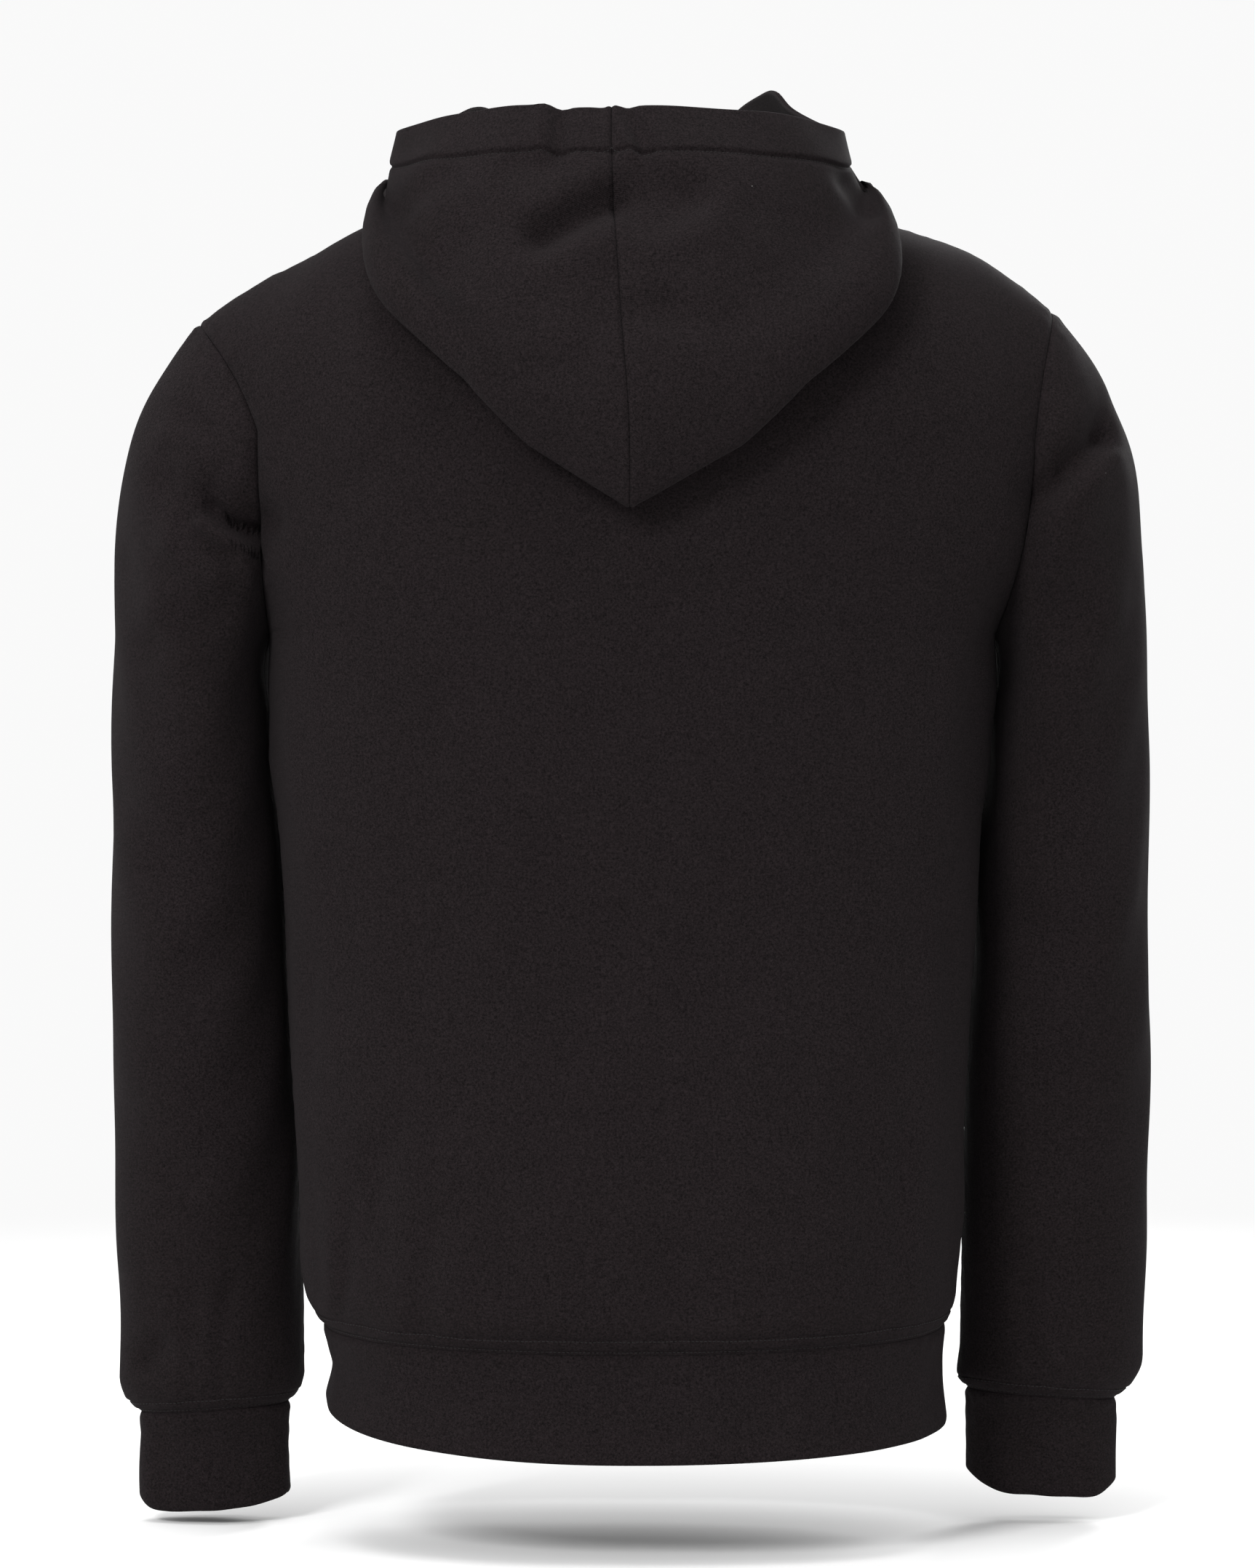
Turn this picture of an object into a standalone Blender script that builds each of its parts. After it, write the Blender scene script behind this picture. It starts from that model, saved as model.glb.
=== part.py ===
"""Zip-up hoodie in the hollow shape that it has when worn, hood down.

Metres. +Z is up, the front faces -Y and the wearer's left is +X. The origin lies between the
shoulders' high points, where the garment hangs on its wearer. Each sewn piece is a wall of its
own: back, two fronts, two sleeves, two cuffs, hem band and two hood panels. The zip down the
front has two tapes, a slider and a pull tab that hangs on the slider's bridge.
"""

import math

import bmesh
import bpy
import numpy as np
from mathutils.kdtree import KDTree

# ---------------------------------------------------------------- cloth and seams
FLEECE = 0.0020  # brushed-back sweatshirt fleece
BAND_CLOTH = 0.0028  # the same cloth doubled, for hem band and cuffs
CASING_RISE = 0.0010  # the hood's turned hem stands this much proud
SEAM_GAP = 0.0003
MITRE_LEAST = 0.5  # a mitre at a seam is at most one over this times the cloth's thickness

# ---------------------------------------------------------------- levels
NECK_HALF = 0.088
NECK_Z = 0.014  # high point of the shoulder, beside the neck
NECK_BACK_Y, NECK_BACK_Z = 0.058, 0.000
NECK_FRONT_Y, NECK_FRONT_Z = -0.105, -0.078
ZIP_HALF = 0.0065  # from the centre line to a front's turned edge
NECK_SHARE = 4 / 11  # share of a half panel's width that the neck takes
LEFT, RIGHT = 1, -1
BACK, FRONT = 1, -1


def named(columns, *rows):
    """A table with named columns, each an array down the rows."""
    return dict(zip(columns.split(), np.array(rows, float).T))


# The torso's level sections: level, z at the side seam and at the centre of back and front,
# half widths left and right, and the y of the side seam and of the centre at back and front.
BODY = named(
    "level side_z  back_z  front_z  left    right   side_y  back_y  front_y",
    (-1.00, -0.668, -0.6862, -0.669, 0.1715, 0.1785, -0.004, 0.117, -0.121),  # hem
    (-0.55, -0.647, -0.6590, -0.644, 0.1675, 0.1765, -0.004, 0.113, -0.117),  # band
    (0.000, -0.620, -0.6276, -0.616, 0.1730, 0.1775, -0.004, 0.112, -0.117),  # band seam
    (0.045, -0.603, -0.6095, -0.599, 0.1810, 0.1832, -0.004, 0.119, -0.125),  # blouse
    (0.120, -0.574, -0.5800, -0.571, 0.1838, 0.1840, -0.004, 0.119, -0.127),  # hip
    (0.310, -0.501, -0.5040, -0.501, 0.1885, 0.1880, -0.004, 0.112, -0.129),
    (0.520, -0.420, -0.4200, -0.420, 0.1935, 0.1930, -0.005, 0.105, -0.132),  # waist
    (0.750, -0.331, -0.3310, -0.331, 0.1990, 0.1975, -0.006, 0.111, -0.138),
    (1.000, -0.235, -0.2350, -0.235, 0.2030, 0.2050, -0.008, 0.121, -0.142),  # underarm
)
HEM_LEAN = 0.0055  # the hem's edge hangs this much higher at the left side and lower at the right
ROUNDNESS = 0.80  # power of sine and cosine in a level section: 1 is an ellipse, 0 a box

# Blade and chest level, where the panels begin to turn over the shoulders: the centre's y and z,
# and the armhole's x, y and z there on each side.
YOKE = {
    BACK: {"y": 0.125, "z": -0.125, LEFT: (0.205, 0.062, -0.125), RIGHT: (0.223, 0.062, -0.132)},
    FRONT: {"y": -0.140, "z": -0.150, LEFT: (0.184, -0.084, -0.140), RIGHT: (0.188, -0.084, -0.140)},
}
YOKE_TURN = 58.0  # degrees that a yoke section turns from its centre to the armhole
CROWN_TURN = {BACK: 66.0, FRONT: 40.0}  # degrees that the centre column turns up to the neck

# Shoulder seam: its outer end, and how much and where it arches over the straight line.
SHOULDER = {
    LEFT: {"x": 0.243, "z": -0.060, "arch": 0.0092, "skew": 0.72},
    RIGHT: {"x": 0.238, "z": -0.053, "arch": 0.0106, "skew": 1.60},
}

# Sleeve sections, biceps to cuff seam: z, outermost and innermost x, centre y, half depth.
SLEEVE = named(
    "z       outer   inner   y       depth",
    (-0.250, 0.2922, 0.2045, -0.022, 0.071),
    (-0.330, 0.2950, 0.1990, -0.034, 0.066),
    (-0.420, 0.2960, 0.1948, -0.041, 0.060),
    (-0.500, 0.2957, 0.1908, -0.045, 0.051),
    (-0.580, 0.2940, 0.1880, -0.048, 0.042),
    (-0.636, 0.2930, 0.1870, -0.050, 0.036),
    (-0.656, 0.2930, 0.1868, -0.050, 0.034),  # blouse over the cuff
    (-0.667, 0.2900, 0.1885, -0.050, 0.031),
    (-0.676, 0.2817, 0.1952, -0.050, 0.025),  # cuff seam
)
SLEEVE_OUT = {LEFT: 0.0, RIGHT: 0.0025}  # the right sleeve hangs a little further out
CUFF_IN = {LEFT: 0.0, RIGHT: 0.0050}  # and its cuff sits a little further in
SLEEVE_RISE = {LEFT: 0.000, RIGHT: 0.008}  # the right sleeve ends a little higher
BICEPS_TILT = 0.042  # the biceps section is this much higher at its outer side
CUFF_LENGTH = 0.058
CUFF_DEPTH = 0.021
CUFF_CORNER = {LEFT: (0.0065, 0.0040), RIGHT: (0.0080, 0.0090)}  # its outer and inner corner rise
CUFF_TILT = 0.003  # a cuff's inner edge ends this much higher than its outer edge

# Hood, by station from centre back (0) over the shoulder seam (0.5) to the zip (1). The bag's
# fold rests on the panel at share `across` and level `up`; `loft` is the bag's depth there.
# Belly, casing seam and free edge of the outer layer are points: x, y, z.
HOOD = named(
    "station across  up    loft   bel_x  bel_y  bel_z   cas_x  cas_y  cas_z   edge_x edge_y edge_z",
    (0.000, 0.000, 1.69, 0.026, 0.000, 0.160, -0.085, 0.000, 0.117, 0.0225, 0.000, 0.100, 0.0485),
    (0.125, 0.162, 1.90, 0.026, 0.045, 0.155, -0.078, 0.044, 0.115, 0.0225, 0.040, 0.097, 0.0488),
    (0.250, 0.340, 2.12, 0.028, 0.086, 0.138, -0.060, 0.083, 0.100, 0.0220, 0.077, 0.084, 0.0484),
    (0.360, 0.492, 2.29, 0.027, 0.117, 0.109, -0.030, 0.114, 0.070, 0.0215, 0.107, 0.057, 0.0468),
    (0.440, 0.568, 2.59, 0.020, 0.134, 0.058, 0.002, 0.128, 0.036, 0.0240, 0.1235, 0.030, 0.0455),
    (0.500, 0.515, 3.00, 0.011, 0.130, 0.008, 0.019, 0.126, 0.006, 0.0320, 0.1200, 0.002, 0.0500),
    (0.600, 0.490, 2.77, 0.010, 0.117, -0.036, 0.021, 0.109, -0.031, 0.0420, 0.097, -0.026, 0.0635),
    (0.720, 0.420, 2.56, 0.012, 0.099, -0.076, 0.006, 0.090, -0.065, 0.0340, 0.079, -0.054, 0.0695),
    (0.860, 0.240, 2.46, 0.012, 0.062, -0.114, -0.034, 0.054, -0.102, -0.004, 0.046, -0.090, 0.0330),
    (1.000, 0.030, 2.84, 0.008, 0.009, -0.122, -0.068, 0.008, -0.118, -0.056, 0.0065, -0.109, -0.034),
)
HOOD_MARKS = (0, 0.07, 0.14, 0.21, 0.28, 0.35, 0.42, 0.49, 0.66, 0.86, 1)  # of a rib's own points
HOOD_CLEAR = 0.0050  # the bag's under layer over the panels
HOOD_NECK_CLEAR = 0.0024
HOOD_SEAM_LEAN = 0.010  # the free edge lies this far to the left at the centre seam, half at the sides
# Beyond the shoulder the free edge stands this much higher than the table says, on each side.
HOOD_STAND = named(
    "station left    right",
    (0.00,   0.0000, 0.0000),
    (0.50,   0.0000, 0.0000),
    (0.60,  -0.0030, 0.0030),
    (0.66,  -0.0010, 0.0080),
    (0.72,   0.0000, 0.0090),
    (0.80,   0.0020, 0.0160),
    (0.87,   0.0030, 0.0220),
    (0.94,   0.0010, 0.0080),
    (1.00,   0.0000, 0.0000),
)
CASING_MARK = HOOD_MARKS[-2]

# Creases: the segment from (x1, z1) to (x2, z2) as seen from behind (side 1) or from the
# front (side -1), its half width and its depth into the cloth (negative for a ridge).
CREASES = named(
    "side  x1      z1      x2      z2      width  depth",
    (1,    0.203, -0.176,  0.232, -0.160, 0.011, 0.0095),  # left armpit
    (1,    0.215, -0.205,  0.250, -0.178, 0.012, -0.0040),  # ridge under it
    (1,    0.256, -0.153,  0.226, -0.190, 0.010, 0.0035),
    (1,   -0.222, -0.162, -0.262, -0.125, 0.011, 0.0060),  # right armpit
    (1,   -0.230, -0.185, -0.268, -0.150, 0.012, -0.0030),
    (-1,   0.198, -0.170,  0.235, -0.150, 0.012, 0.0080),
    (-1,  -0.200, -0.172, -0.240, -0.148, 0.012, 0.0075),
    (1,    0.142, -0.520,  0.150, -0.610, 0.012, 0.0030),  # troughs over the hem band
    (1,    0.108, -0.560,  0.112, -0.612, 0.010, 0.0022),
    (1,   -0.014, -0.500, -0.030, -0.600, 0.020, 0.0030),
    (1,   -0.136, -0.525, -0.138, -0.606, 0.011, 0.0028),
    (1,    0.268, -0.640,  0.276, -0.646, 0.008, 0.0050),  # dimple over the left cuff
    (-1,   0.110, -0.520,  0.118, -0.606, 0.012, 0.0028),
    (-1,  -0.104, -0.530, -0.112, -0.606, 0.012, 0.0028),
)
HOOD_CREASES = named(
    "side  x1      z1      x2      z2      width  depth",
    (1,    0.010, -0.004,  0.050, -0.024, 0.010, 0.0085),  # slanting hollow left of the seam
    (1,    0.062,  0.014,  0.044,  0.014, 0.009, 0.0030),
    (1,    0.012, -0.030,  0.046, -0.046, 0.010, -0.0030),
    (1,   -0.004, -0.002, -0.036,  0.004, 0.011, 0.0065),  # hollow right of the seam
    (1,   -0.004, -0.068, -0.026, -0.070, 0.010, 0.0035),
    (1,    0.048, -0.098,  0.030, -0.096, 0.009, 0.0025),
    (1,   -0.131, -0.003, -0.120,  0.012, 0.007, 0.0050),  # fold at the right corner
)

# ---------------------------------------------------------------- mesh fineness
HOOD_STATIONS = (
    *(0.0, 0.07, 0.14, 0.21, 0.28, 0.34, 0.39, 0.43, 0.457, 0.479, 0.5),
    *(0.52, 0.54, 0.56, 0.585, 0.615, 0.65, 0.69, 0.735, 0.785, 0.84, 0.89, 0.945, 1.0),
)
HOOD_ROWS = 22
NECK_COLUMNS = 8  # of a torso panel, from its centre to the neck's side
SHOULDER_COLUMNS = 7  # and on to the panel's side
BODY_ROWS = (0.0, 0.018, 0.045, 0.085, 0.145, 0.23, 0.33, 0.44, 0.55, 0.66, 0.775, 0.89)
ARMHOLE_LEVELS = (1.0, 1.17, 1.34, 1.5, 1.66, 1.83, 2.0, 2.17, 2.34, 2.5, 2.64, 2.77, 2.89, 3.0)
BAND_ROWS = (-1.0, -0.93, -0.7, -0.35, 0.0)
CAP_ROWS = 5
ARM_ROWS = (0.0, 0.12, 0.25, 0.38, 0.51, 0.64, 0.76, 0.86, 0.92, 0.955, 0.98, 1.0)

# ---------------------------------------------------------------- zip
TAPE_WIDTH = 0.0150
TAPE_THICK = 0.0010
TAPE_DEPTH = 0.0032  # its outer face lies this far under the fronts' outer face
CHAIN_WIDTH = 0.0027  # half the closed chain
CHAIN_RISE = 0.0016  # over the tape
CHAIN_GAP = 0.00025  # from the centre line to a tape's chain edge
CHAIN_OPEN = 0.0019  # the same above the slider
SLIDER_DROP = 0.0135  # from the tapes' top end down to the slider's middle
PLATE_THICK = 0.0012
PLATE_CLEAR = 0.0004
SLIDER_OUTLINE = (
    *((-0.0028, -0.0062), (0.0028, -0.0062), (0.0048, -0.0046), (0.0046, 0.0000), (0.0040, 0.0056)),
    *((0.0034, 0.0062), (-0.0034, 0.0062), (-0.0040, 0.0056), (-0.0046, 0.0000), (-0.0048, -0.0046)),
)
POST = (0.0013, -0.0060, -0.0032)  # half width, top and bottom
BRIDGE_HALF = 0.0012
BRIDGE = (
    *((-0.0044, -0.0004), (-0.0044, 0.0036), (-0.0034, 0.0044), (0.0034, 0.0044), (0.0044, 0.0036)),
    *((0.0044, -0.0004), (0.0032, -0.0004), (0.0032, 0.0028), (0.0028, 0.0032), (-0.0028, 0.0032)),
    *((-0.0032, 0.0028), (-0.0032, -0.0004)),
)
PULL_AXIS = 0.0015  # the bar's axis over the front plate
PULL_THICK = 0.0014
PULL_OUTLINE = (
    *((-0.0036, -0.0008), (0.0036, -0.0008), (0.0041, -0.0003), (0.0041, 0.0265), (0.0035, 0.0283)),
    *((0.0020, 0.0292), (-0.0020, 0.0292), (-0.0035, 0.0283), (-0.0041, 0.0265), (-0.0041, -0.0003)),
)
PULL_EYE = ((-0.0024, 0.0008), (0.0024, 0.0008), (0.0024, 0.0064), (-0.0024, 0.0064))


def follow(knots, values, at):
    """A smooth curve through values at the knots that never overshoots them, read at `at`."""
    at = np.clip(at, knots[0], knots[-1])
    step = np.diff(knots)
    slope = np.diff(values) / step
    tangent = np.concatenate([slope[:1], np.zeros(len(slope) - 1), slope[-1:]])
    rising = slope[:-1] * slope[1:] > 0
    before, after = slope[:-1][rising], slope[1:][rising]
    tangent[1:-1][rising] = 2 * before * after / (before + after)
    cell = np.clip(np.searchsorted(knots, at, side="right") - 1, 0, len(step) - 1)
    f = (at - knots[cell]) / step[cell]
    start, end = values[cell], values[cell + 1]
    return (
        start * (1 + 2 * f) * (1 - f) ** 2
        + end * f * f * (3 - 2 * f)
        + step[cell] * f * (1 - f) * (tangent[cell] * (1 - f) - tangent[cell + 1] * f)
    )


def through(knots, values, at):
    """The natural cubic curve through values at the knots, read at `at`. The second derivatives at
    the knots come from the usual tridiagonal system, with none at the two ends."""
    step = np.diff(knots)
    count = len(knots)
    matrix, right = np.eye(count), np.zeros(np.shape(values))
    for i in range(1, count - 1):
        matrix[i, i - 1 : i + 2] = step[i - 1], 2 * (step[i - 1] + step[i]), step[i]
        right[i] = 6 * (
            (values[i + 1] - values[i]) / step[i] - (values[i] - values[i - 1]) / step[i - 1]
        )
    bend = np.linalg.solve(matrix, right)
    cell = np.clip(np.searchsorted(knots, at, side="right") - 1, 0, count - 2)
    width, ahead, behind = step[cell], knots[cell + 1] - at, at - knots[cell]
    if np.ndim(values) > 1:
        width, ahead, behind = width[:, None], ahead[:, None], behind[:, None]
    return (
        (bend[cell] * ahead**3 + bend[cell + 1] * behind**3) / (6 * width)
        + (values[cell] / width - bend[cell] * width / 6) * ahead
        + (values[cell + 1] / width - bend[cell + 1] * width / 6) * behind
    )


def spline(points, marks, share):
    """The natural cubic curve through points (K, 3) that lie at these marks, read at shares."""
    chord = np.linalg.norm(np.diff(points, axis=0), axis=1)
    knots = np.concatenate([[0], np.cumsum(chord)])
    return through(knots, points, np.interp(share, marks, knots))


def ease(share):
    """0 to 1 with level ends."""
    share = np.clip(share, 0, 1)
    return share * share * (3 - 2 * share)


def stack(x, y, z):
    return np.stack(np.broadcast_arrays(x, y, z), axis=-1)


# ---------------------------------------------------------------- torso
def section_angle(share):
    """The angle round a level section, centre to side, so that shares are even in girth."""
    angle = np.linspace(0, math.pi / 2, 400)
    x = 0.19 * np.sin(angle) ** ROUNDNESS
    y = 0.12 * np.cos(angle) ** ROUNDNESS
    girth = np.concatenate([[0], np.cumsum(np.hypot(np.diff(x), np.diff(y)))])
    return np.interp(share, girth / girth[-1], angle)


def across(share, turn):
    """How far a section has gone sideways and round, 0 to 1, at a share of its half width."""
    angle = section_angle(share) * turn / 90
    full = np.radians(turn)
    side = np.sin(angle) ** ROUNDNESS / np.sin(full) ** ROUNDNESS
    depth = (1 - np.cos(angle) ** ROUNDNESS) / (1 - np.cos(full) ** ROUNDNESS)
    return side, depth


def top_edge(face, side, share):
    """Neckline, then shoulder seam, from the centre (0) to the shoulder point (1)."""
    turn = np.clip(share / NECK_SHARE, 0, 1) * math.pi / 2
    start = ZIP_HALF if face == FRONT else 0.0
    neck_y, neck_z = (NECK_BACK_Y, NECK_BACK_Z) if face == BACK else (NECK_FRONT_Y, NECK_FRONT_Z)
    neck = stack(
        side * (start + (NECK_HALF - start) * np.sin(turn)),
        neck_y * np.cos(turn),
        NECK_Z + (neck_z - NECK_Z) * np.cos(turn),
    )
    end = SHOULDER[side]
    along = np.clip((share - NECK_SHARE) / (1 - NECK_SHARE), 0, 1)
    arch = end["arch"] * np.sin(math.pi * along ** end["skew"])
    shoulder = stack(
        side * (NECK_HALF + (end["x"] - NECK_HALF) * along),
        0.0,
        NECK_Z + (end["z"] - NECK_Z) * along + arch,
    )
    return np.where((share < NECK_SHARE)[..., None], neck, shoulder)


def panel(face, side, share, level):
    """A point of the back or a front: share 0 centre to 1 side, level -1 hem, 0 band seam,
    1 underarm, 2 blade or chest, 3 neck and shoulder seam."""
    share, level = np.broadcast_arrays(np.asarray(share, float), np.asarray(level, float))
    start = side * ZIP_HALF if face == FRONT else 0.0
    name = "back" if face == BACK else "front"
    width_name = "left" if side == LEFT else "right"
    yoke = YOKE[face]
    row = {column: follow(BODY["level"], BODY[column], level) for column in BODY}
    edge_x = side * row[width_name]
    edge_y = row["side_y"]
    edge_z = row["side_z"] + side * HEM_LEAN * ease(-level)
    centre_y, centre_z = row[name + "_y"], row[name + "_z"]

    # Underarm to blade or chest: the edge leaves the underarm level and turns up the armhole.
    rise = np.clip(level - 1, 0, 1)
    quarter = rise * math.pi / 2
    hole_x, hole_y, hole_z = yoke[side]
    edge_x = edge_x + (side * hole_x - edge_x) * ease(rise)
    edge_y = edge_y + (hole_y - edge_y) * np.sin(quarter)
    edge_z = edge_z + (hole_z - edge_z) * (1 - np.cos(quarter))
    centre_y = centre_y + (yoke["y"] - centre_y) * np.sin(quarter)
    centre_z = centre_z + (yoke["z"] - centre_z) * rise
    turn = 90 + (YOKE_TURN - 90) * ease(rise)
    aside, around = across(share, turn)
    low = stack(
        start + (edge_x - start) * aside,
        centre_y + (edge_y - centre_y) * around,
        centre_z + (edge_z - centre_z) * share**2,
    )

    # Blade or chest to the top edge: each column turns over like a quarter of an oval.
    over = np.clip(level - 2, 0, 1)
    top = top_edge(face, side, share)
    full = np.radians(CROWN_TURN[face] + (90 - CROWN_TURN[face]) * ease(share / 0.55))
    angle = over * full
    up = np.sin(angle) / np.sin(full)
    forward = (1 - np.cos(angle)) / (1 - np.cos(full))
    sideways = (np.sin(over * math.pi / 2) + np.sin(over * math.pi / 2) ** 2) / 2
    mix = np.stack([sideways, forward, up], axis=-1)
    return low + (top - low) * mix


def panel_out(face, side, share, level):
    """The panel's outward unit normal, from its neighbours 1 mm or so away."""
    step = 0.006
    low, high = np.maximum(share - step, 0), np.minimum(share + step, 1)
    under, over = np.maximum(level - step, -1), np.minimum(level + step, 3)
    right = panel(face, side, high, level) - panel(face, side, low, level)
    up = panel(face, side, share, over) - panel(face, side, share, under)
    normal = np.cross(right, up) * side * -face
    return normal / np.linalg.norm(normal, axis=-1, keepdims=True)


# ---------------------------------------------------------------- sleeves and cuffs
def armhole(side, angle):
    """The armhole, from the shoulder point (0) down the back, under the arm and up the front."""
    back = panel(BACK, side, 1.0, 3 - np.minimum(angle, math.pi) / (math.pi / 2))
    front = panel(FRONT, side, 1.0, 1 + np.maximum(angle - math.pi, 0) / (math.pi / 2))
    return np.where((angle <= math.pi)[..., None], back, front)


def arm_section(side, angle, down):
    """The sleeve from biceps (down 0) to cuff seam (1)."""
    z = SLEEVE["z"][0] + (SLEEVE["z"][-1] - SLEEVE["z"][0]) * down
    outer, inner, y, depth = (
        follow(-SLEEVE["z"], SLEEVE[column], -z) for column in ("outer", "inner", "y", "depth")
    )
    tilt = BICEPS_TILT * (1 - ease(down / 0.35)) - CUFF_TILT * ease((down - 0.6) / 0.4)
    aside = SLEEVE_OUT[side] * ease(down) - CUFF_IN[side] * ease((down - 0.94) / 0.06)
    return stack(
        side * ((outer + inner) / 2 + (outer - inner) / 2 * np.cos(angle) + aside),
        y + depth * np.sin(angle),
        z + tilt * np.cos(angle) + SLEEVE_RISE[side] * ease(down),
    )


def sleeve(side, angle, along):
    """Sleeve: along 0 at the armhole, 1 at the biceps, 2 at the cuff seam."""
    angle, along = np.broadcast_arrays(np.asarray(angle, float), np.asarray(along, float))
    start = armhole(side, angle)
    end = arm_section(side, angle, np.zeros_like(along))
    reach = np.linalg.norm(end - start, axis=-1, keepdims=True)
    outside = (1 + np.cos(angle)) / 2
    leave = stack(side * (0.40 + 0.28 * outside), 0.34 * np.sin(angle), -1 + 0.22 * outside)
    leave = leave / np.linalg.norm(leave, axis=-1, keepdims=True)
    f = np.clip(along, 0, 1)[..., None]
    drop = np.array([0, 0, -1.0])
    cap = (
        start * (1 + 2 * f) * (1 - f) ** 2
        + end * f * f * (3 - 2 * f)
        + 1.15 * reach * f * (1 - f) * ((1 - f) * leave - f * drop)
    )
    arm = arm_section(side, angle, np.clip(along - 1, 0, 1))
    return np.where((along < 1)[..., None], cap, arm)


def cuff(side, angle, down):
    """Cuff: a flattened tube, down 0 at its seam to 1 at its turned edge."""
    angle, down = np.broadcast_arrays(np.asarray(angle, float), np.asarray(down, float))
    seam = arm_section(side, angle, np.ones_like(down))
    middle = arm_section(side, np.array([0.0, math.pi]), np.ones(2)).mean(axis=0)
    round_in = 1 - 0.06 * np.clip((down - 0.9) / 0.1, 0, 1) ** 2
    spread = np.array([1.0, CUFF_DEPTH / SLEEVE["depth"][-1], 1.0])
    shape = (seam - middle) * (1 + (spread - 1) * ease(down / 0.25)[..., None])
    shape = shape * np.array([1, 1, 0]) * round_in[..., None] + (seam - middle) * np.array([0, 0, 1])
    outer, inner = CUFF_CORNER[side]
    corner = np.where(np.cos(angle) > 0, outer, inner) * np.cos(angle) ** 6 * down**2
    return middle + shape + stack(0.0, -0.002 * down, corner - CUFF_LENGTH * down)


# ---------------------------------------------------------------- hood
def hood_column(side, station, share):
    """One rib of the hood at a station: from the neck seam along the panels to the fold, round
    it, and up the outer layer over belly and casing to the free edge."""
    face = BACK if station <= 0.5 else FRONT
    row = {name: through(HOOD["station"], HOOD[name], station) for name in HOOD}
    neck_share = NECK_SHARE * (1 - abs(1 - 2 * station))
    path = np.linspace(0, 1, 6)
    width = neck_share + (row["across"] - neck_share) * path
    level = 3 + (min(row["up"], 3.0) - 3) * path
    rest, out = panel(face, side, width, level), panel_out(face, side, width, level)
    lift = HOOD_NECK_CLEAR + (HOOD_CLEAR - HOOD_NECK_CLEAR) * ease(path / 0.35)
    under = rest + out * lift[:, None]
    heading = under[-1] - under[-2]
    heading = heading / np.linalg.norm(heading)
    loft = row["loft"]
    turn = under[-1] + out[-1] * loft / 2 + heading * loft / 2
    low = under[-1] + out[-1] * loft - heading * loft * 0.25
    outer = np.array(
        [[side * row[part + "_x"], row[part + "_y"], row[part + "_z"]] for part in ("bel", "cas", "edge")]
    )
    if station > 0.97:
        outer[:, 0] = np.copysign(np.maximum(abs(outer[:, 0]), ZIP_HALF), side)
    points = np.vstack([under, [turn, low], outer])
    if station == 0:
        points[:, 0] = 0
    curve = spline(points, HOOD_MARKS, share)
    lean = HOOD_SEAM_LEAN * (1 - ease(station / 0.4) / 2) * (1 - ease((station - 0.5) / 0.4))
    curve[:, 0] += lean * ease((share - 0.5) / 0.4)
    stand = follow(HOOD_STAND["station"], HOOD_STAND["left" if side == LEFT else "right"], station)
    curve[:, 2] += stand * ease((share - 0.66) / 0.34)
    return curve


def hood(side, stations, shares):
    """One half of the hood as a grid: shares down the rows, stations along the columns. Where the
    bag's under layer and fold come too near the panels they are lifted clear."""
    points = np.stack([hood_column(side, station, shares) for station in stations], axis=1)
    share, level = np.meshgrid(np.linspace(0, 1, 61), np.linspace(1.3, 3, 86))
    rest = np.concatenate([panel(face, side, share, level).reshape(-1, 3) for face in (BACK, FRONT)])
    out = np.concatenate([panel_out(face, side, share, level).reshape(-1, 3) for face in (BACK, FRONT)])
    tree = KDTree(len(rest))
    for index, place in enumerate(rest):
        tree.insert(place, index)
    tree.balance()
    for row, along in enumerate(shares):
        if along > HOOD_MARKS[-3]:
            continue
        clear = HOOD_NECK_CLEAR + (HOOD_CLEAR - HOOD_NECK_CLEAR) * ease(along / 0.08)
        for column in range(len(stations)):
            place, nearest, _ = tree.find(points[row, column])
            lift = clear - (points[row, column] - rest[nearest]) @ out[nearest]
            if lift > 0:
                points[row, column] += lift * out[nearest] * (stations[column] > 0, 1, 1)
    return points


# ---------------------------------------------------------------- folds
def creased(points, normals, creases):
    """Pushes points in along their normals at each crease that their side of the cloth has."""
    push = np.zeros(points.shape[:-1])
    for side, x1, z1, x2, z2, width, depth in zip(*creases.values()):
        run = np.array([x2 - x1, z2 - z1])
        offset = points[..., [0, 2]] - np.array([x1, z1])
        share = np.clip(offset @ run / (run @ run), 0, 1)
        gap = np.linalg.norm(offset - share[..., None] * run, axis=-1)
        facing = ease(normals[..., 1] * side / 0.5)
        push += depth * facing * np.exp(-((gap / width) ** 2))
    return points - normals * push[..., None]


# ---------------------------------------------------------------- sewing
def face_normals(points, closed):
    """Corner normals of a grid of points, summed from its four-sided faces."""
    rows, columns = points.shape[:2]
    wrap = np.concatenate([points, points[:, :1]], axis=1) if closed else points
    a, b, c, d = wrap[:-1, :-1], wrap[:-1, 1:], wrap[1:, 1:], wrap[1:, :-1]
    face = np.cross(c - a, d - b)
    total = np.zeros((rows, columns, 3))
    last = columns if closed else columns - 1
    for row_step in (0, 1):
        for column_step in (0, 1):
            into = (np.arange(last) + column_step) % columns
            total[row_step : rows - 1 + row_step, into] += face
    return total


def unit(vectors):
    return vectors / np.linalg.norm(vectors, axis=-1, keepdims=True)


def seam_keys(points):
    """One key for each point, the same for points of two pieces that meet at a seam."""
    return [tuple(key) for key in np.round(points.reshape(-1, 3) * 1e5).astype(int)]


def tube(name):
    """The tube of cloth that a piece belongs to: the torso's pieces count as one at a seam."""
    return name if name.startswith(("sleeve", "cuff")) else "torso"


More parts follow.
